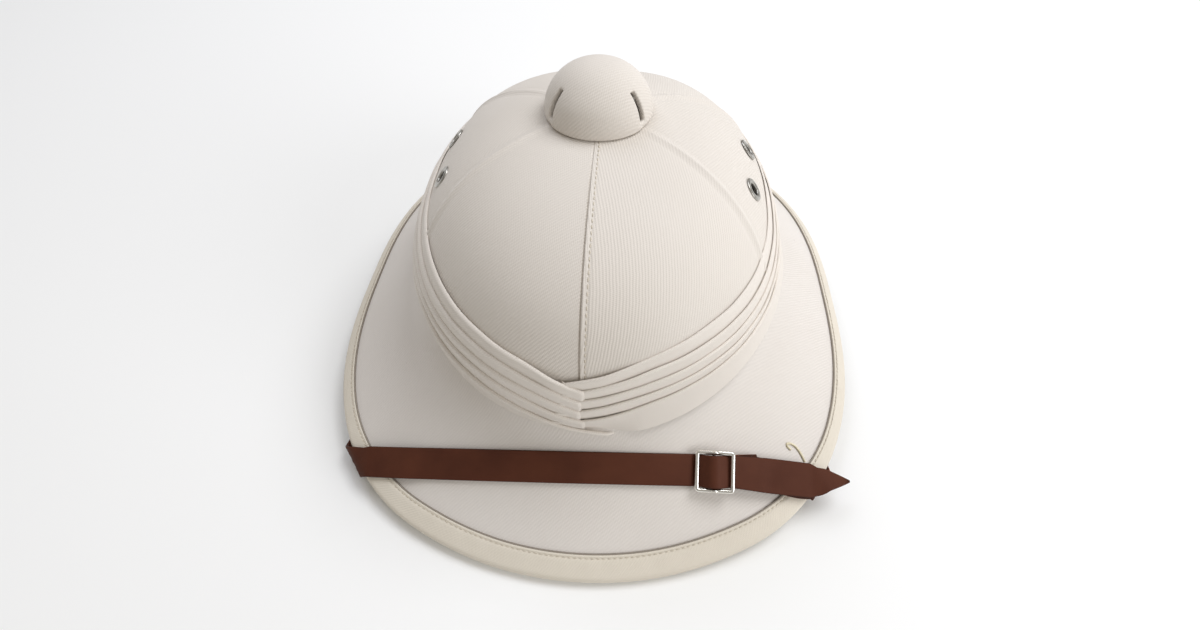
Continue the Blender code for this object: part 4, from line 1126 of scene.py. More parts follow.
@dataclass
class Puggaree:
    """Cloth band laid in five folds, whose ends cross in front like the teeth of a zip.

    Each row of the tables is one fold, from the top one down. A column is the height of its rounded
    upper edge, in millimetres, at the azimuth in degrees that heads it.
    """

    form: HatForm
    cloth: bpy.types.Material
    right_at_deg: tuple[float, ...] = (-22, -5, 0, 5, 10, 20, 35, 60, 90, 180)
    right_mm: tuple[tuple[float, ...], ...] = (
        (72.0, 80.5, 83.0, 85.2, 87.3, 90.5, 92.3, 92.0, 92.5, 93.5),
        (66.0, 74.5, 77.3, 79.6, 81.6, 84.8, 85.8, 85.6, 86.0, 87.0),
        (59.0, 68.0, 70.8, 73.1, 75.1, 77.8, 79.0, 79.0, 79.5, 80.5),
        (51.5, 60.6, 63.4, 66.0, 68.3, 71.0, 72.0, 72.3, 73.0, 74.0),
        (44.5, 52.6, 55.0, 57.2, 59.6, 63.9, 65.2, 65.6, 66.5, 67.5),
    )
    left_at_deg: tuple[float, ...] = (-24, -10, -1, 5, 12, 20, 35, 60, 90, 180)
    left_mm: tuple[tuple[float, ...], ...] = (
        (60.0, 71.5, 77.5, 82.0, 86.2, 89.0, 92.8, 95.6, 95.5, 93.5),
        (52.0, 63.5, 70.1, 75.0, 79.2, 82.4, 86.2, 89.0, 88.8, 87.0),
        (46.0, 56.0, 62.1, 67.2, 71.7, 75.0, 79.3, 82.2, 82.0, 80.5),
        (44.5, 50.5, 55.2, 58.8, 62.8, 67.3, 72.0, 75.2, 75.3, 74.0),
        (42.8, 43.3, 47.2, 49.9, 53.2, 56.6, 61.6, 66.5, 68.2, 67.5),
    )
    visible: float = 0.0125
    ridge_out: tuple[float, float] = (0.0031, 0.0023)
    foot_out: tuple[float, float] = (0.0014, 0.0009)
    roll: tuple[float, float] = (0.00105, 0.00062)
    front_out: float = 0.0028
    front_fall: float = 0.0024
    tuck_rate: float = 2.6
    cloth_thick: float = 0.0006
    left_over: float = 0.0009
    front_zone_deg: float = 16.0
    left_end_deg: float = 15.0
    right_end_deg: float = 13.0
    last_end_deg: float = 11.0
    hem_out: float = 0.0042
    end_out: tuple[float, float] = (0.0010, 0.0006)
    end_ease_deg: float = 5.0
    foot_gap: float = 0.0010
    least_depth: float = 0.0012
    most_tuck: float = 0.0026
    sag: float = 0.0005
    edge_stray: float = 0.00018
    out_stray: float = 0.00010

    def ridge(self, fold: int, turn_deg: np.ndarray) -> np.ndarray:
        """Height of a fold's upper edge, where turn runs from the left end round the back.

        Args:
            fold: 0 for the top fold.
            turn_deg: 0 at the front, growing leftward round the back to 360 at the front again.

        Returns:
            Heights in metres.
        """
        left = self.spline(self.left_at_deg, self.left_mm[fold], turn_deg)
        right = self.spline(self.right_at_deg, self.right_mm[fold], 360.0 - turn_deg)
        return np.where(turn_deg < 180.0, left, right) / 1000

    @staticmethod
    def spline(at: tuple[float, ...], values: tuple[float, ...], where: np.ndarray) -> np.ndarray:
        """Smooth curve through a row of a table, with no overshoot between its columns."""
        x, y = np.array(at, float), np.array(values, float)
        slope = np.diff(y) / np.diff(x)
        tangent = np.zeros_like(y)
        tangent[1:-1] = np.where(slope[:-1] * slope[1:] > 0,
                                 2 * slope[:-1] * slope[1:] / (slope[:-1] + slope[1:] + 1e-12), 0.0)
        tangent[0] = slope[0]
        i = np.clip(np.searchsorted(x, where, side="right") - 1, 0, len(x) - 2)
        width = x[i + 1] - x[i]
        t = np.clip((where - x[i]) / width, 0, 1)
        return ((2 * t**3 - 3 * t**2 + 1) * y[i] + (t**3 - 2 * t**2 + t) * width * tangent[i]
                + (-2 * t**3 + 3 * t**2) * y[i + 1] + (t**3 - t**2) * width * tangent[i + 1])

    def covering(self, number: int, turn_deg: np.ndarray, top: np.ndarray) -> np.ndarray:
        """How far a fold's upper edge lies below the edge of the fold that crosses over it in front."""
        beyond = np.full_like(turn_deg, -1.0)
        if number + 1 < len(self.right_mm):
            right = self.spline(self.right_at_deg, self.right_mm[number + 1], -turn_deg) / 1000
            beyond = np.where((turn_deg < 40.0) & (turn_deg > -22.0), right - top, beyond)
        left = self.spline(self.left_at_deg, self.left_mm[number], turn_deg - 360.0) / 1000
        beyond = np.where(turn_deg > 335.0, left - top, beyond)
        return np.maximum(beyond, 0.0)

    def fold(self, number: int) -> bpy.types.Object:
        """One fold, as a closed strip with a rolled upper edge."""
        last = number == len(self.left_mm) - 1
        lead = self.last_end_deg if last else self.left_end_deg
        stop = 360.0 + self.right_end_deg
        turn = np.concatenate([np.arange(-lead, 30, 0.5), np.arange(30, 330, 1.5),
                               np.arange(330, stop + 0.01, 0.5)])
        azimuth = -np.radians(turn)
        top = self.ridge(number, turn)
        top = top + self.edge_stray * wander(turn / 360.0, 20 + number, (7, 13, 29))
        leftness = 1.0 - smoothstep(150.0, 210.0, turn)
        near_left = 1.0 - smoothstep(4.0, self.front_zone_deg, turn)
        near_right = 1.0 - smoothstep(4.0, self.front_zone_deg, 360.0 - turn)
        near = near_left + near_right
        layer = self.left_over * near_left
        floor = self.form.crown_base(azimuth) + self.foot_gap
        bottom = floor if last else np.maximum(top - self.visible, floor)
        depth = np.maximum(top - bottom, self.least_depth)
        roll = self.roll[1] + (self.roll[0] - self.roll[1]) * leftness * (1.0 - 0.35 * near)
        thick = self.cloth_thick
        side_ridge = self.ridge_out[1] + (self.ridge_out[0] - self.ridge_out[1]) * leftness
        side_foot = self.foot_out[1] + (self.foot_out[0] - self.foot_out[1]) * leftness
        if number == 0:
            side_ridge = 2.0 * roll + 0.0002
        if last:
            side_foot = side_foot + (self.hem_out - side_foot) * (1.0 - leftness)
        out_ridge = side_ridge + (self.front_out - side_ridge) * near + layer
        out_ridge = out_ridge + self.out_stray * wander(turn / 360.0, 40 + number, (11, 17, 23))
        out_ridge = out_ridge - np.minimum(self.covering(number, turn, top) * self.tuck_rate, self.most_tuck)
        out_foot = side_foot + (out_ridge - self.front_fall - side_foot) * near
        clear_of_ends = (smoothstep(-lead, -lead + self.end_ease_deg, turn)
                         * (1.0 - smoothstep(stop - self.end_ease_deg, stop, turn)))
        out_ridge = self.end_out[0] + (out_ridge - self.end_out[0]) * clear_of_ends
        out_foot = self.end_out[1] + (out_foot - self.end_out[1]) * clear_of_ends
        rings = []
        rows = [0.0, 0.1, 0.22, 0.36, 0.5, 0.65, 0.8, 0.92, 1.0]
        for share in reversed(rows):
            fall = out_ridge + (out_foot - out_ridge) * share
            rings.append((top - roll - (depth - roll) * share, fall - 2 * roll + (2 * roll - thick) * share))
        for spin in np.linspace(0.0, math.pi, 9)[1:-1]:
            rings.append((top - roll + roll * math.sin(spin), out_ridge - roll - roll * math.cos(spin)))
        for share in rows:
            sag = self.sag * math.sin(math.pi * share) * (1.0 - near)
            fall = out_ridge + (out_foot - out_ridge) * share - sag
            rings.append((top - roll - (depth - roll) * share, fall))
        loop = []
        for height, out in rings:
            level = np.clip(self.form.crown_level(azimuth, height), 0.0, 0.999)
            spot = self.form.crown_point(azimuth, level, np.maximum(out, 0.0002))
            spot[:, 2] = height
            loop.append(spot)
        points = np.stack(loop, axis=1)
        along = np.radians(turn) * self.form.crown_front_reach
        heights = np.stack([h for h, _ in rings] + [rings[0][0]], axis=1)
        u = np.broadcast_to(along[:, None], heights.shape)
        threads = np.stack([(u * 0.6 + heights * 0.8), (heights * 0.6 - u * 0.8)], axis=-1)
        made = MeshKit.sweep(f"puggaree_fold_{number + 1}", points, threads, False)
        MeshKit.smooth(made, 70.0)
        return made

    def build(self) -> None:
        """Make and dress the five folds."""
        for number in range(len(self.left_mm)):
            MeshKit.place(self.fold(number), self.cloth, "band_cloth", ("puggaree",))


@dataclass
class VentButton:
    """Cloth-covered button on the crown, slit at four places to let air out."""

    form: HatForm
    cloth: bpy.types.Material
    radius: float = 0.0250
    height: float = 0.0218
    wall: float = 0.0025
    lift: float = 0.0005
    slot_azimuth_deg: float = 55.0
    slot_width: float = 0.0034
    slot_foot: float = 0.0030
    slot_top: float = 0.0155
    flap_proud: float = 0.0008
    edge_round: float = 0.0007
    thread_angle_deg: float = -60.0
    rows: int = 44

    def base_z(self) -> float:
        """Height of the button's edge over the front of the crown's top."""
        levels = np.linspace(1.0, 0.5, 501)
        reach = self.form.crown_centre_y - self.form.crown_point(np.zeros_like(levels), levels)[:, 1]
        level = levels[int(np.argmax(reach >= self.radius))]
        return float(self.form.crown_point(np.array(0.0), np.array(level))[2]) + self.lift

    def build(self) -> None:
        """Make the button and dress it."""
        slots = [self.slot_azimuth_deg, 180 - self.slot_azimuth_deg, self.slot_azimuth_deg - 180,
                 -self.slot_azimuth_deg]
        half = math.degrees(self.slot_width / 2 / self.radius)
        edges = sorted([s - half for s in slots] + [s + half for s in slots])
        turn = np.concatenate([np.linspace(a, b, max(2, int(abs(b - a) / 3.0)), endpoint=False)
                               for a, b in zip(edges, edges[1:] + [edges[0] + 360.0])])
        rise = np.linspace(0, math.pi / 2, self.rows)
        a, r = np.meshgrid(np.radians(turn), rise, indexing="ij")
        from_front = np.abs((np.degrees(a) + 180) % 360 - 180)
        front = smoothstep(0.0, 1.0, 1.0 - from_front / self.slot_azimuth_deg + 0.5)
        within = from_front < self.slot_azimuth_deg
        fade = 1 - smoothstep(0.45, 0.95, r)
        proud = self.flap_proud * np.where(within, 1.0, 0.0) * fade * np.clip(front, 0.4, 1)
        radius, height = self.radius + proud, self.height + 0.3 * proud
        z0 = self.base_z()
        flat = np.cos(r) ** 0.92
        points = np.stack([radius * flat * np.sin(a), self.form.crown_centre_y - radius * flat * np.cos(a),
                           z0 + height * np.sin(r)], axis=-1)
        size = len(turn)
        faces, corners = [], []
        angle = math.radians(self.thread_angle_deg)
        for i in range(size):
            j = (i + 1) % size
            middle = turn[i] + ((turn[j] - turn[i]) % 360.0) / 2
            gap = min(abs((middle - s + 180) % 360 - 180) for s in slots)
            for k in range(self.rows - 1):
                low, high = self.height * math.sin(rise[k]), self.height * math.sin(rise[k + 1])
                if gap < half * 0.98 and low > self.slot_foot and high < self.slot_top:
                    continue
                quad = [(i, k), (j, k), (j, k + 1), (i, k + 1)]
                faces.append([p * self.rows + q for p, q in quad])
                corners += [points[p, q] for p, q in quad]
        mesh = bpy.data.meshes.new("vent_button_cap")
        mesh.from_pydata(points.reshape(-1, 3).tolist(), [], faces)
        xyz = np.array(corners)
        rise_up = xyz[:, 1] * 0.78 + xyz[:, 2] * 0.62
        uv = np.stack([xyz[:, 0] * math.cos(angle) + rise_up * math.sin(angle),
                       rise_up * math.cos(angle) - xyz[:, 0] * math.sin(angle)], axis=-1)
        mesh.uv_layers.new(name=THREADS).data.foreach_set("uv", uv.astype(np.float32).ravel())
        MeshKit.tidy(mesh)
        cap = new_object("vent_button_cap", mesh)
        solid = cap.modifiers.new("wall", "SOLIDIFY")
        solid.thickness, solid.offset, solid.use_even_offset = self.wall, -1.0, True
        round_edge = cap.modifiers.new("edge", "BEVEL")
        round_edge.width, round_edge.segments, round_edge.limit_method = self.edge_round, 3, "ANGLE"
        round_edge.angle_limit = math.radians(50)
        MeshKit.bake(cap)
        MeshKit.smooth(cap, 60.0)
        MeshKit.place(cap, self.cloth, "button_cloth", ("vent_button",))


class StrapEnd(Enum):
    """Side of the hat where a strap turns round the brim edge."""

    LEFT = -1
    RIGHT = 1


@dataclass
class StrapRoute:
    """Middle line of the strap on top of the brim, by length from the slide."""

    form: HatForm
    width: float = 0.0145
    front_y: float = -0.1243
    front_z: float = 0.0325
    lean_deg: float = 23.6
    skew_deg: float = 2.3
    slide_x: float = 0.0583
    step: float = 0.0030
    points: list[Vector] = field(default_factory=list)
    normals: list[Vector] = field(default_factory=list)
    lengths: list[float] = field(default_factory=list)

    def __post_init__(self) -> None:
        """Trace the line from the left edge to the right one."""
        left, right = self.edge_x(-1), self.edge_x(1)
        count = math.ceil((right - left) / self.step)
        for i in range(count + 1):
            x = left + (right - left) * i / count
            y, z = self.on_brim(x)
            self.points.append(Vector((x, y, z)))
            self.normals.append(self.normal_at(x, y, self.form.brim_wall / 2))
        self.points = [self.lifted(i) for i in range(count + 1)]
        self.lengths = [0.0]
        for a, b in zip(self.points, self.points[1:]):
            self.lengths.append(self.lengths[-1] + (b - a).length)
        zero = next(i for i, point in enumerate(self.points) if point.x >= self.slide_x)
        start = self.lengths[zero]
        self.lengths = [length - start for length in self.lengths]
        self.left, self.right = self.lengths[0], self.lengths[-1]

    def share_at(self, x: float, y: float) -> tuple[BrimLines, float]:
        """Brim line through a place in plan, and the place's share along it."""
        aimed = math.atan2(x, self.form.widest_y() - y)
        tries = aimed + np.linspace(-0.5, 0.5, 41)
        for _ in range(4):
            lines = BrimLines(self.form, tries)
            away = np.array([x, y]) - lines.origin
            side = away[:, 0] * lines.outward[:, 1] - away[:, 1] * lines.outward[:, 0]
            flips = np.nonzero(np.diff(np.sign(side)))[0]
            i = int(flips[0]) if len(flips) else int(np.argmin(np.abs(side)))
            i = min(i, len(tries) - 2)
            tries = np.linspace(tries[i], tries[i + 1], 41)
        lines = BrimLines(self.form, np.array(tries[20]))
        out = float((np.array([x, y]) - lines.origin) @ lines.outward)
        return lines, (out - lines.start_out) / float(lines.end_out - lines.start_out)

    def height_at(self, x: float, y: float, distance: float) -> float:
        """Height over a place in plan of the surface at a distance from the wall's middle."""
        lines, share = self.share_at(x, y)
        share = np.array(min(share, 1.0))
        return float(lines.middle(share)[1] + distance / lines.normal(share)[1])

    def normal_at(self, x: float, y: float, distance: float) -> Vector:
        """Unit normal of that surface."""
        step = 5e-4
        fall_x = self.height_at(x + step, y, distance) - self.height_at(x - step, y, distance)
        fall_y = self.height_at(x, y + step, distance) - self.height_at(x, y - step, distance)
        return Vector((-fall_x / (2 * step), -fall_y / (2 * step), 1.0)).normalized()

    def on_brim(self, x: float) -> tuple[float, float]:
        """Y and height where the strap's plane meets the brim at an x."""
        lean, skew = math.tan(math.radians(self.lean_deg)), math.tan(math.radians(self.skew_deg))
        y = self.front_y
        for _ in range(12):
            z = self.height_at(x, y, self.form.brim_wall / 2)
            y += (self.front_y - lean * (z - self.front_z) + skew * x - y) * 0.8
        return y, self.height_at(x, y, self.form.brim_wall / 2)

    def edge_x(self, side: int) -> float:
        """X where the strap's line reaches the brim edge on one side."""
        near, far = 0.0, self.form.brim_half_width
        for _ in range(16):
            middle = (near + far) / 2
            y, _ = self.on_brim(side * middle)
            if self.share_at(side * middle, y)[1] > 1.0:
                far = middle
            else:
                near = middle
        return side * near

    def lifted(self, i: int) -> Vector:
        """Point raised until a flat strap over it clears the hollow flare of the brim."""
        along = self.points[min(i + 1, len(self.points) - 1)] - self.points[max(i - 1, 0)]
        across = self.normals[i].cross(along).normalized() * self.width / 2
        bulge = 0.0
        for side in (-1.0, 1.0):
            place = self.points[i] + across * side
            above = self.height_at(place.x, place.y, self.form.brim_wall / 2) - place.z
            bulge = max(bulge, above * self.normals[i].z)
        return self.points[i] + self.normals[i] * bulge

    def frame(self, length: float) -> tuple[Vector, Vector, Vector]:
        """Place, direction along the strap and normal; beyond an end the strap runs straight on."""
        inside = min(max(length, self.left), self.right)
        last = len(self.lengths) - 1
        i = next((k for k in range(1, last) if self.lengths[k] >= inside), last)
        share = (inside - self.lengths[i - 1]) / (self.lengths[i] - self.lengths[i - 1])
        before, after = self.points[max(i - 2, 0)], self.points[min(i + 1, len(self.points) - 1)]
        start = (self.points[i] - before).normalized()
        end = (after - self.points[i - 1]).normalized()
        along = start.lerp(end, share).normalized()
        place = self.points[i - 1].lerp(self.points[i], share)
        normal = self.normals[i - 1].lerp(self.normals[i], share)
        normal = (normal - along * normal.dot(along)).normalized()
        return place + along * (length - inside), along, normal

    def at(self, length: float, height: float, sideways: float = 0.0) -> tuple[Vector, Vector]:
        """Place and normal at a length, a height over the brim and a distance sideways."""
        place, along, normal = self.frame(length)
        return place + normal * height + normal.cross(along) * sideways, normal


@dataclass(frozen=True)
class Nose:
    """Round nose of the brim edge that a strap turns over at a slant."""

    base: Vector
    out: Vector
    up: Vector
    tangent: Vector
    radius: float
    slant: float

    def facing(self, turn: float) -> Vector:
        """Normal at an angle round the nose, 0 on top."""
        return self.up * math.cos(turn) + self.out * math.sin(turn)

    def spot(self, turn: float) -> Vector:
        """Middle of the strap at an angle round the nose."""
        beside = self.tangent * self.radius * math.tan(self.slant) * turn
        return self.base + self.facing(turn) * self.radius + beside

    def wrapped(self, turn: float, sideways: float, rise: float, side: Vector) -> Vector:
        """Point of the strap laid on the nose, so that its edges bend round it too.

        Args:
            turn: Angle of the strap's middle.
            sideways: Distance from the middle across the strap.
            rise: Distance outward from the leather's middle.
            side: Direction across the strap, which gives its sign.

        Returns:
            The point.
        """
        flip = 1.0 if side.dot(self.tangent) > 0 else -1.0
        round_it = self.radius * turn - flip * sideways * math.sin(self.slant)
        beside = self.radius * math.tan(self.slant) * turn + flip * sideways * math.cos(self.slant)
        angle = min(max(round_it / self.radius, 0.0), math.pi)
        past = round_it - angle * self.radius
        level = self.out * past if past < 0 else -self.out * past
        return self.base + self.facing(angle) * (self.radius + rise) + level + self.tangent * beside


@dataclass(frozen=True)
class Station:
    """One step along a strap: its middle and normal, and the nose where it turns over one."""

    place: Vector
    normal: Vector
    nose: Nose | None = None
    turn: float = 0.0


@dataclass
class ChinStrap:
    """Leather strap over the front of the brim: a long end, a short end with the slide, and the slide."""

    form: HatForm
    leather: bpy.types.Material
    metal: bpy.types.Material
    pin_metal: bpy.types.Material
    thread: bpy.types.Material
    wire: bpy.types.NodeTree
    stitches: bpy.types.NodeTree
    route: StrapRoute
    leather_thick: float = 0.0016
    short_width: float = 0.0130
    short_thick: float = 0.0014
    gap: float = 0.0006
    edge_wrap_gap: float = 0.0006
    layer_gap: float = 0.0005
    ramp_start: float = 3.8
    ramp_end: float = 2.6
    wrap_lead: float = 0.0040
    binding_width: float = 0.0095
    tail_turn_deg: float = 5.6
    tail_past_edge: float = 0.0125
    tail_flare: float = 0.09
    tip_length: float = 0.0195
    tip_width: float = 0.0012
    folded_end_length: float = 0.0215
    folded_end_drift: float = 0.0012
    short_slip: float = 0.0060
    anchor_azimuth_deg: float = 76.0
    anchor_inset: float = 0.20
    wire_radius: float = 0.0009
    slide_length: float = 0.0157
    slide_side_gap: float = 0.0003
    slide_bend: float = 0.0011
    tail_flare_run: float = 0.022
    stitch_inset: float = 0.0030

    def heights(self) -> dict[str, float]:
        """Heights over the brim of the middle of each layer at the slide."""
        wire, thick, short, gap = self.wire_radius, self.leather_thick, self.short_thick, self.layer_gap
        under_left = self.gap + thick / 2
        lower = self.gap + short / 2
        loop = wire + gap + short / 2
        folded = lower + short + gap
        tail = folded + short / 2 + gap + thick / 2
        return {
            "under_left": under_left,
            "left_bar": under_left + thick / 2 + gap + wire,
            "lower": lower,
            "centre_bar": lower + short / 2 + gap + wire,
            "loop_radius": loop,
            "folded": folded,
            "over_radius": loop + short / 2 + gap + thick / 2,
            "tail": tail,
            "right_bar": tail + thick / 2 + gap + wire,
            "on_short": lower + short / 2 + gap + thick / 2,
        }

    def binding_step(self) -> float:
        """Extra height of the strap over the edging."""
        return self.form.nose_radius() - self.form.brim_wall / 2 + self.edge_wrap_gap - self.gap

    def on_binding(self, from_edge: float) -> float:
        """Share of the climb onto the edging."""
        near, far = self.ramp_end * self.binding_width, self.ramp_start * self.binding_width
        return 1.0 - float(smoothstep(near, far, from_edge))

    def edge_wrap(self, end: StrapEnd, thick: float, slip: float = 0.0) -> list[Station]:
        """Stations round the brim edge and in under the brim to the pin.

        Args:
            end: Side of the hat.
            thick: Thickness of the leather.
            slip: Distance to move them sideways, toward the front.

        Returns:
            Stations from the top outward.
        """
        side = end.value
        place, along, _ = self.route.frame(self.route.left if side < 0 else self.route.right)
        heading = along * side
        lines, _ = self.route.share_at(place.x, place.y)
        one = np.array(1.0)
        across, upward = (float(part) for part in lines.normal(one))
        out_dir = Vector((float(lines.outward[0]), float(lines.outward[1]), 0.0))
        middle = Vector(lines.offset(one, 0.0))
        up = out_dir * across + Vector((0, 0, upward))
        out = out_dir * upward - Vector((0, 0, across))
        tangent = up.cross(out)
        if tangent.dot(heading) < 0:
            tangent = -tangent
        slant = math.atan2(heading.dot(tangent), heading.dot(out))
        radius = self.form.nose_radius() + self.edge_wrap_gap + thick / 2
        base = middle + tangent * ((place - middle).dot(tangent) - slip / math.cos(slant))
        nose = Nose(base, out, up, tangent, radius, slant)
        turns = [math.pi * i / 16 for i in range(17)]
        stations = [Station(nose.spot(turn), nose.facing(turn), nose, turn) for turn in turns]
        last = stations[-1].place
        pin_line = BrimLines(self.form, np.array(side * math.radians(self.anchor_azimuth_deg)))
        anchor = Vector(pin_line.offset(np.array(self.anchor_inset), 0.0))
        for i in range(1, 13):
            x, y = last.x + (anchor.x - last.x) * i / 12, last.y + (anchor.y - last.y) * i / 12
            normal = self.route.normal_at(x, y, -radius)
            stations.append(Station(Vector((x, y, self.route.height_at(x, y, -radius))), -normal))
        return stations

    def ribbon(self, name: str, stations: list[Station], thick: float,
               widths: list[float]) -> bpy.types.Object:
        """Flat strip with rounded edges along stations of place and normal.

        Args:
            name: Name of the piece.
            stations: Place and outward normal at each step.
            thick: Thickness of the leather.
            widths: Width at each station.

        Returns:
            The strip, with cloth coordinates along it and across it.
        """
        soft = thick * 0.32
        rows, run = [], [0.0]
        for i, station in enumerate(stations):
            before, after = stations[max(i - 1, 0)].place, stations[min(i + 1, len(stations) - 1)].place
            along = (after - before).normalized()
            place, normal = station.place, station.normal
            up = (normal - along * normal.dot(along)).normalized()
            side = up.cross(along)
            half, rise = widths[i] / 2, thick / 2
            ease = min(soft, half * 0.5)
            flat = [(half - ease * 2.2, rise), (half - ease, rise * 0.97),
                    (half - ease * 0.3, rise - ease * 0.45), (half, rise - ease * 1.2)]
            outline = [(0.0, rise), (half * 0.5, rise)] + flat
            outline += [(x, -z) for x, z in reversed(flat)] + [(half * 0.5, -rise), (0.0, -rise)]
            outline += [(-x, z) for x, z in reversed(outline[1:-1])]
            if station.nose:
                rows.append([np.array(station.nose.wrapped(station.turn, x, z, side)) for x, z in outline])
            else:
                rows.append([np.array(place + side * x + up * z) for x, z in outline])
            if i:
                run.append(run[-1] + (place - stations[i - 1].place).length)
        points = np.array(rows)
        share = []
        half_last = widths[-1] / 2
        for k, (x, z) in enumerate(outline):
            reach = min(1.0, abs(x) / half_last)
            share.append(math.copysign(1.03 if abs(z) < thick / 2 - soft * 0.9 else reach, x or 1.0))
        share.append(share[0])
        u, v = np.meshgrid(np.array(run), np.array(share), indexing="ij")
        made = MeshKit.sweep(name, points, np.stack([u, v], axis=-1), False)
        MeshKit.smooth(made, 65.0)
        return made

    def tangent_over(self, centre: tuple[float, float], radius: float, point: tuple[float, float],
                     sign: int) -> float:
        """Angle on a circle where the line from a point outside touches it."""
        away_x, away_y = point[0] - centre[0], point[1] - centre[1]
        return math.atan2(away_y, away_x) + sign * math.acos(radius / math.hypot(away_x, away_y))

    def long_strap(self) -> bpy.types.Object:
        """Long end: round the left edge, under the left bar, over the centre bar, under the right bar."""
        heights, route, wire = self.heights(), self.route, self.wire_radius
        stations = list(reversed(self.edge_wrap(StrapEnd.LEFT, self.leather_thick)))
        half = self.slide_length / 2
        plain: list[tuple[float, float]] = []
        start, stop = route.left + self.wrap_lead, -half - 4.0 * wire
        for i in range(71):
            length = start + (stop - start) * i / 70
            ease = self.binding_step() * self.on_binding(length - route.left)
            plain.append((length, heights["under_left"] + ease))
        low = (0.8 * wire - half, heights["under_left"])
        high = (half, heights["tail"])
        centre, radius = (0.0, heights["centre_bar"]), heights["over_radius"]
        first = self.tangent_over(centre, radius, low, -1) % (2 * math.pi)
        last = self.tangent_over(centre, radius, high, 1)
        bump = [low]
        for i in range(13):
            angle = first + (last - first) * i / 12
            bump.append((radius * math.cos(angle), centre[1] + radius * math.sin(angle)))
        bump.append((half - 1.2 * wire, heights["tail"]))
        plain += [(-half, heights["under_left"])] + bump
        end = route.right + self.tail_past_edge
        rise = self.binding_step() + heights["on_short"]
        for i in range(41):
            length = half + 0.6 * wire + (end - half - 0.6 * wire) * i / 40
            settle = float(smoothstep(0.18, 0.78, (length - self.folded_end_length) / route.width))
            height = heights["tail"] + (heights["on_short"] - heights["tail"]) * settle
            height += (rise - height) * self.on_binding(route.right - length)
            plain.append((length, height))
        turn = math.tan(math.radians(self.tail_turn_deg))
        widths = [route.width] * len(stations)
        for length, height in plain:
            stations.append(Station(*route.at(length, height, -turn * max(0.0, length - half))))
            point = min(1.0, max(0.0, (end - length) / self.tip_length)) ** 0.9
            flare = 1.0 + self.tail_flare * float(smoothstep(half, half + self.tail_flare_run, length))
            widths.append(self.tip_width + (route.width * flare - self.tip_width) * point)
        return self.ribbon("chin_strap_long", stations, self.leather_thick, widths)

    def short_strap(self) -> bpy.types.Object:
        """Short end: round the right edge to the centre bar, and back under the long end."""
        heights, route = self.heights(), self.route
        stations = list(reversed(self.edge_wrap(StrapEnd.RIGHT, self.short_thick, self.short_slip)))
        for i in range(31):
            length = (route.right - self.wrap_lead) * (1.0 - i / 30)
            height = heights["lower"] + self.binding_step() * self.on_binding(route.right - length)
            drift = self.folded_end_drift * float(smoothstep(0.0, self.folded_end_length, length))
            slipped = float(smoothstep(0.24, 0.85, length / route.right))
            drift -= (self.folded_end_drift + self.short_slip) * slipped
            stations.append(Station(*route.at(length, height, drift)))
        centre, radius = heights["centre_bar"], heights["loop_radius"]
        place, along, normal = route.frame(0.0)
        for i in range(1, 14):
            turn = math.pi * i / 14
            spot = place + normal * (centre - radius * math.cos(turn)) - along * radius * math.sin(turn)
            stations.append(Station(spot, normal * math.cos(turn) + along * math.sin(turn)))
        for i in range(17):
            length = self.folded_end_length * i / 16
            ease = float(smoothstep(0.0, self.folded_end_length * 0.38, length))
            height = centre + radius + (heights["folded"] - centre - radius) * ease
            drift = self.folded_end_drift * float(smoothstep(0.0, self.folded_end_length, length))
            spot, facing = route.at(length, height, drift)
            stations.append(Station(spot, -facing))
        widths = [self.short_width] * len(stations)
        return self.ribbon("chin_strap_short", stations, self.short_thick, widths)

    def slide(self) -> bpy.types.Object:
        """Nickel slide: a bent wire frame, its centre bar and the two loops that hold the bar."""
        heights, route = self.heights(), self.route
        half = self.slide_length / 2
        reach = route.width / 2 + self.slide_side_gap + self.wire_radius
        place, along, normal = route.frame(0.0)
        across = normal.cross(along)
        left_drop = (route.frame(-half)[0] - place).dot(normal)
        right_drop = (route.frame(half)[0] - place).dot(normal)
        left = place - along * half + normal * (heights["left_bar"] + left_drop)
        right = place + along * half + normal * (heights["right_bar"] + right_drop)
        aside = across * reach
        corners = [left + aside, right + aside, right - aside, left - aside]
        path = []
        for i, corner in enumerate(corners):
            back = (corners[i - 1] - corner).normalized() * self.slide_bend
            ahead = (corners[(i + 1) % 4] - corner).normalized() * self.slide_bend
            for t in np.linspace(0, 1, 6):
                path.append(corner + back * (1 - t) ** 2 + ahead * t**2)
        frame_line = NodeTool.line("slide_frame", np.array([list(p) for p in path]), cyclic=True)
        parts = [NodeTool.run(frame_line, self.wire, self.metal, {"Wire radius": self.wire_radius * 1.18})]
        bar = place + normal * heights["centre_bar"]
        ends = np.array([list(bar - across * (reach + 0.0006)), list(bar + across * (reach + 0.0006))])
        parts.append(NodeTool.run(NodeTool.line("slide_bar", ends), self.wire, self.metal,
                                  {"Wire radius": self.wire_radius}))
        frame_height = (heights["left_bar"] + heights["right_bar"] + left_drop + right_drop) / 2
        for name, side in (("slide_loop_upper", 1), ("slide_loop_lower", -1)):
            foot = bar + across * side * reach - normal * self.wire_radius * 0.6
            head = place + across * side * reach + normal * (frame_height + self.wire_radius * 0.9)
            ring = []
            for t in np.linspace(0, 2 * math.pi, 20, endpoint=False):
                middle = (foot + head) / 2
                tall = (head - foot).length / 2 + self.wire_radius * 0.2
                ring.append(middle + (head - foot).normalized() * tall * math.cos(t)
                            + along * self.wire_radius * 1.5 * math.sin(t))
            line = NodeTool.line(name, np.array([list(p) for p in ring]), cyclic=True)
            parts.append(NodeTool.run(line, self.wire, self.metal, {"Wire radius": self.wire_radius * 0.95}))
        for part in parts[1:]:
            work = bmesh.new()
            work.from_mesh(parts[0].data)
            work.from_mesh(part.data)
            work.to_mesh(parts[0].data)
            work.free()
            bpy.data.objects.remove(part)
        parts[0].name = "chin_strap_slide"
        return parts[0]

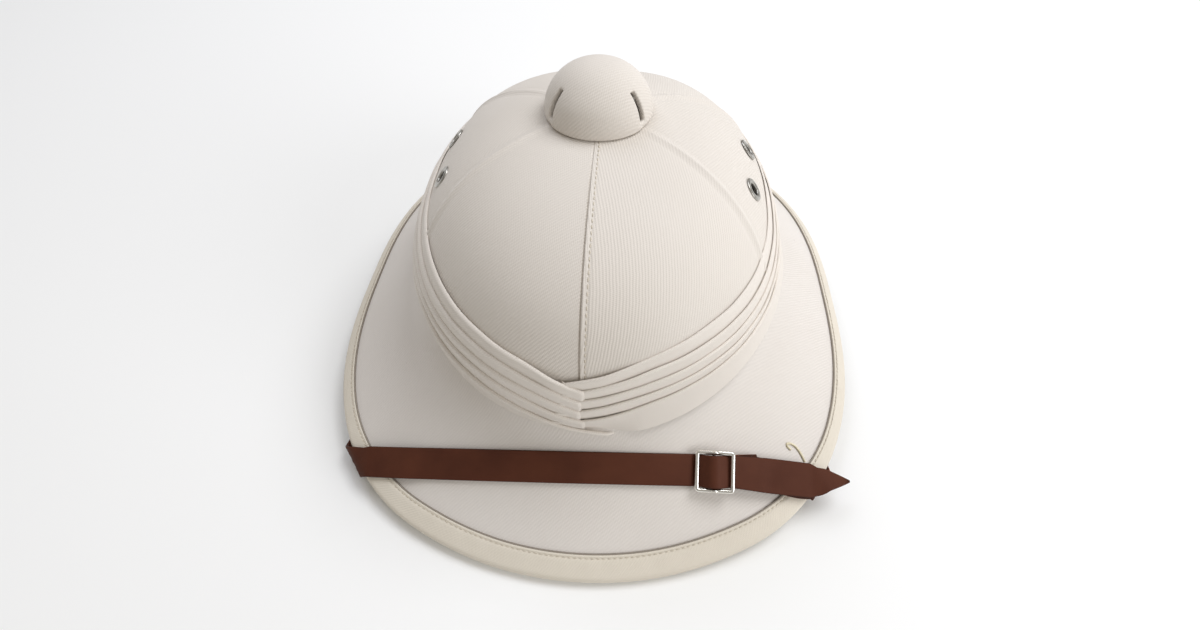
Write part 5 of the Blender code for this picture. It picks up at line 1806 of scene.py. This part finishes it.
    def end_stitches(self) -> bpy.types.Object:
        """Row of stitches across the short end, which holds its fold closed."""
        heights, route = self.heights(), self.route
        path = []
        length = self.folded_end_length - self.stitch_inset
        for side in np.linspace(-0.40, 0.40, 24):
            spot, facing = route.at(length, heights["folded"] + self.short_thick / 2, self.folded_end_drift
                                    + side * self.short_width)
            path.append(list(spot + facing * 0.00005))
        line = NodeTool.line("short_end_stitches", np.array(path))
        return NodeTool.run(line, self.stitches, self.thread, {
            "Pitch": 0.0024, "Stitch length": 0.0018, "Thread radius": 0.00026})

    def build(self) -> None:
        """Make and dress the straps, the slide and the pins."""
        MeshKit.place(self.long_strap(), self.leather, "strap_leather", ("chin_strap",))
        MeshKit.place(self.short_strap(), self.leather, "strap_leather", ("slide_strap",))
        MeshKit.place(self.slide(), self.metal, "slide_metal", ("strap_slide",))
        MeshKit.place(self.end_stitches(), self.thread, "strap_leather")
        for name in ("strap_pin_left", "strap_pin_right"):
            MeshKit.paint(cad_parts[name], self.pin_metal)


@dataclass
class LooseThread:
    """Wisp of pale thread that lies in a hook on the right of the brim."""

    route: StrapRoute
    thread: bpy.types.Material
    wire: bpy.types.NodeTree
    radius: float = 0.00050
    plan_mm: tuple[tuple[float, float], ...] = (
        (100.4, -103.8), (98.6, -102.8), (98.4, -101.6), (100.2, -101.0), (102.8, -101.6), (105.0, -103.4),
        (106.6, -105.6), (107.8, -107.6))

    def build(self) -> None:
        """Lay the thread on the brim and dress it."""
        spots = np.array(self.plan_mm) / 1000
        at = np.linspace(0, len(spots) - 1, 40)
        x = np.interp(at, np.arange(len(spots)), spots[:, 0])
        y = np.interp(at, np.arange(len(spots)), spots[:, 1])
        lift = self.route.form.brim_wall / 2 + self.radius
        path = np.array([[a, b, self.route.height_at(a, b, lift)] for a, b in zip(x, y)])
        for _ in range(3):
            path[1:-1] = (path[:-2] + path[1:-1] * 2 + path[2:]) / 4
        line = NodeTool.line("loose_thread", path)
        laid = NodeTool.run(line, self.wire, self.thread, {"Wire radius": self.radius})
        MeshKit.place(laid, self.thread, "binding_cloth")


@dataclass(frozen=True)
class AreaLight:
    """One soft round light that faces the hat: place and size in metres, and power in watts."""

    name: str
    place: tuple[float, float, float]
    size: float
    watts: float
    colour: str

    def build(self, target: tuple[float, float, float]) -> None:
        """Hang the light and turn it to a place."""
        lamp = bpy.data.lights.new(self.name, "AREA")
        lamp.shape, lamp.size, lamp.energy = "DISK", self.size, self.watts
        lamp.color = hex_to_linear(self.colour)[:3]
        made = new_object(self.name, lamp)
        made.location = self.place
        aim = Vector(target) - Vector(self.place)
        made.rotation_euler = aim.to_track_quat("-Z", "Y").to_euler()


@dataclass
class Studio:
    """Pale floor, soft light and the camera."""

    eye: tuple[float, float, float] = (0.01634, -0.23017, 0.27663)
    right: tuple[float, float, float] = (0.99785727, 0.06541509, -0.00131929)
    up: tuple[float, float, float] = (-0.05032012, 0.78017059, 0.62353968)
    ahead: tuple[float, float, float] = (-0.04181817, 0.62213721, -0.78179059)
    focal_px: float = 567.82
    image_width_px: float = 1200.0
    floor_half: float = 3.0
    lit_place: tuple[float, float, float] = (0.0, 0.0, 0.06)
    lights: tuple[AreaLight, ...] = (
        AreaLight("window_back_right", (0.78, 0.45, 1.50), 1.0, 16.8, "#f8faff"),
        AreaLight("window_back_left", (-0.6, 0.9, 1.4), 1.0, 8.0, "#e8efff"),
        AreaLight("room_front", (1.5, -0.85, 0.75), 1.2, 13.8, "#f8faff"),
    )
    room_colour: str = "#fff9f0"
    room_strength: float = 0.385

    def floor(self) -> None:
        """Lay a plain pale floor."""
        mesh = bpy.data.meshes.new("studio_floor")
        half = self.floor_half
        corners = [(-half, -half, 0), (half, -half, 0), (half, half, 0), (-half, half, 0)]
        mesh.from_pydata(corners, [], [(0, 1, 2, 3)])
        plane = new_object("studio_floor", mesh)
        paint = new_finish("matte white paint")[0]
        mesh.materials.append(shade(paint, {"Base Color": hex_to_linear("#f4f4f2"), "Roughness": 0.95}))

    def camera(self) -> None:
        """Stand the camera where the photograph was taken from."""
        data = bpy.data.cameras.new("camera")
        data.sensor_width = 36.0
        data.lens = self.focal_px / self.image_width_px * data.sensor_width
        data.clip_start = 0.01
        made = new_object("camera", data)
        turned = Matrix((self.right, self.up, [-a for a in self.ahead])).transposed().to_4x4()
        made.matrix_world = Matrix.Translation(Vector(self.eye)) @ turned
        bpy.context.scene.camera = made

    def build(self) -> None:
        """Make the floor, lights, world and camera."""
        self.floor()
        for light in self.lights:
            light.build(self.lit_place)
        world = bpy.data.worlds.new("studio_world")
        bpy.context.scene.world = world
        world.use_nodes = True
        ground = world.node_tree.nodes["Background"]
        ground.inputs["Color"].default_value = hex_to_linear(self.room_colour)
        ground.inputs["Strength"].default_value = self.room_strength
        bpy.context.scene.view_settings.view_transform = "Standard"
        self.camera()


def main() -> None:
    """Build every sub-assembly in order and report each piece."""
    logging.basicConfig(level=logging.INFO, format="%(name)s %(message)s", stream=sys.stdout)
    form = HatForm()
    twill = Cloth("cream cotton twill", "#dcd5cc", "#d1c9be", specks=0.5).build()
    brim_twill = Cloth("brim cotton twill", "#ddd7d0", "#d2cac1", relief=0.16, specks=0.6,
                       line_low=0.97).build()
    folded = Cloth("folded cotton", "#e2dbd2", "#d6cdc3", rib_mm=0.9, relief=0.14, stain=0.15).build()
    edging = Cloth("bias-cut cotton edging", "#ddd5c6", "#d0c6b5", Weave.PLAIN, rib_mm=0.9,
                   relief=0.16).build()
    leather = Leather().build()
    nickel = Metal("polished nickel plate", "#eeece6", "#d8d5ce", 0.16, 0.28).build()
    dull_nickel = Metal("worn nickel plate", "#b4b1aa", "#8c8983", 0.26, 0.42).build()
    aluminium = Metal("plain aluminium", "#c8cacc", "#a8aaad", 0.35, 0.5).build()
    cream_thread = Thread("cream cotton thread", "#d9cfbd").build()
    # Grey-brown colour of the cord that paints the shade in the groove at the edging's inner edge.
    groove_shade_cord = Thread("painted groove shade cord", "#93897c").build()
    brown_thread = Thread("brown waxed thread", "#3a241c").build()
    wisp = Thread("pale yellow cotton thread", "#eae0c0").build()
    stitches, wire = NodeTool.stitch_tree(), NodeTool.wire_tree()
    eyelets = Eyelets(form, dull_nickel)
    Crown(form, twill, cream_thread, stitches).build(eyelets)
    eyelets.build()
    Brim(form, brim_twill).build()
    Binding(form, edging, cream_thread, groove_shade_cord, stitches, wire).build()
    Puggaree(form, folded).build()
    VentButton(form, twill).build()
    MeshKit.paint(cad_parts["button_post"], aluminium)
    route = StrapRoute(form)
    ChinStrap(form, leather, nickel, dull_nickel, brown_thread, wire, stitches, route).build()
    LooseThread(route, wisp, wire).build()
    Studio().build()


if __name__ == "__main__":
    main()
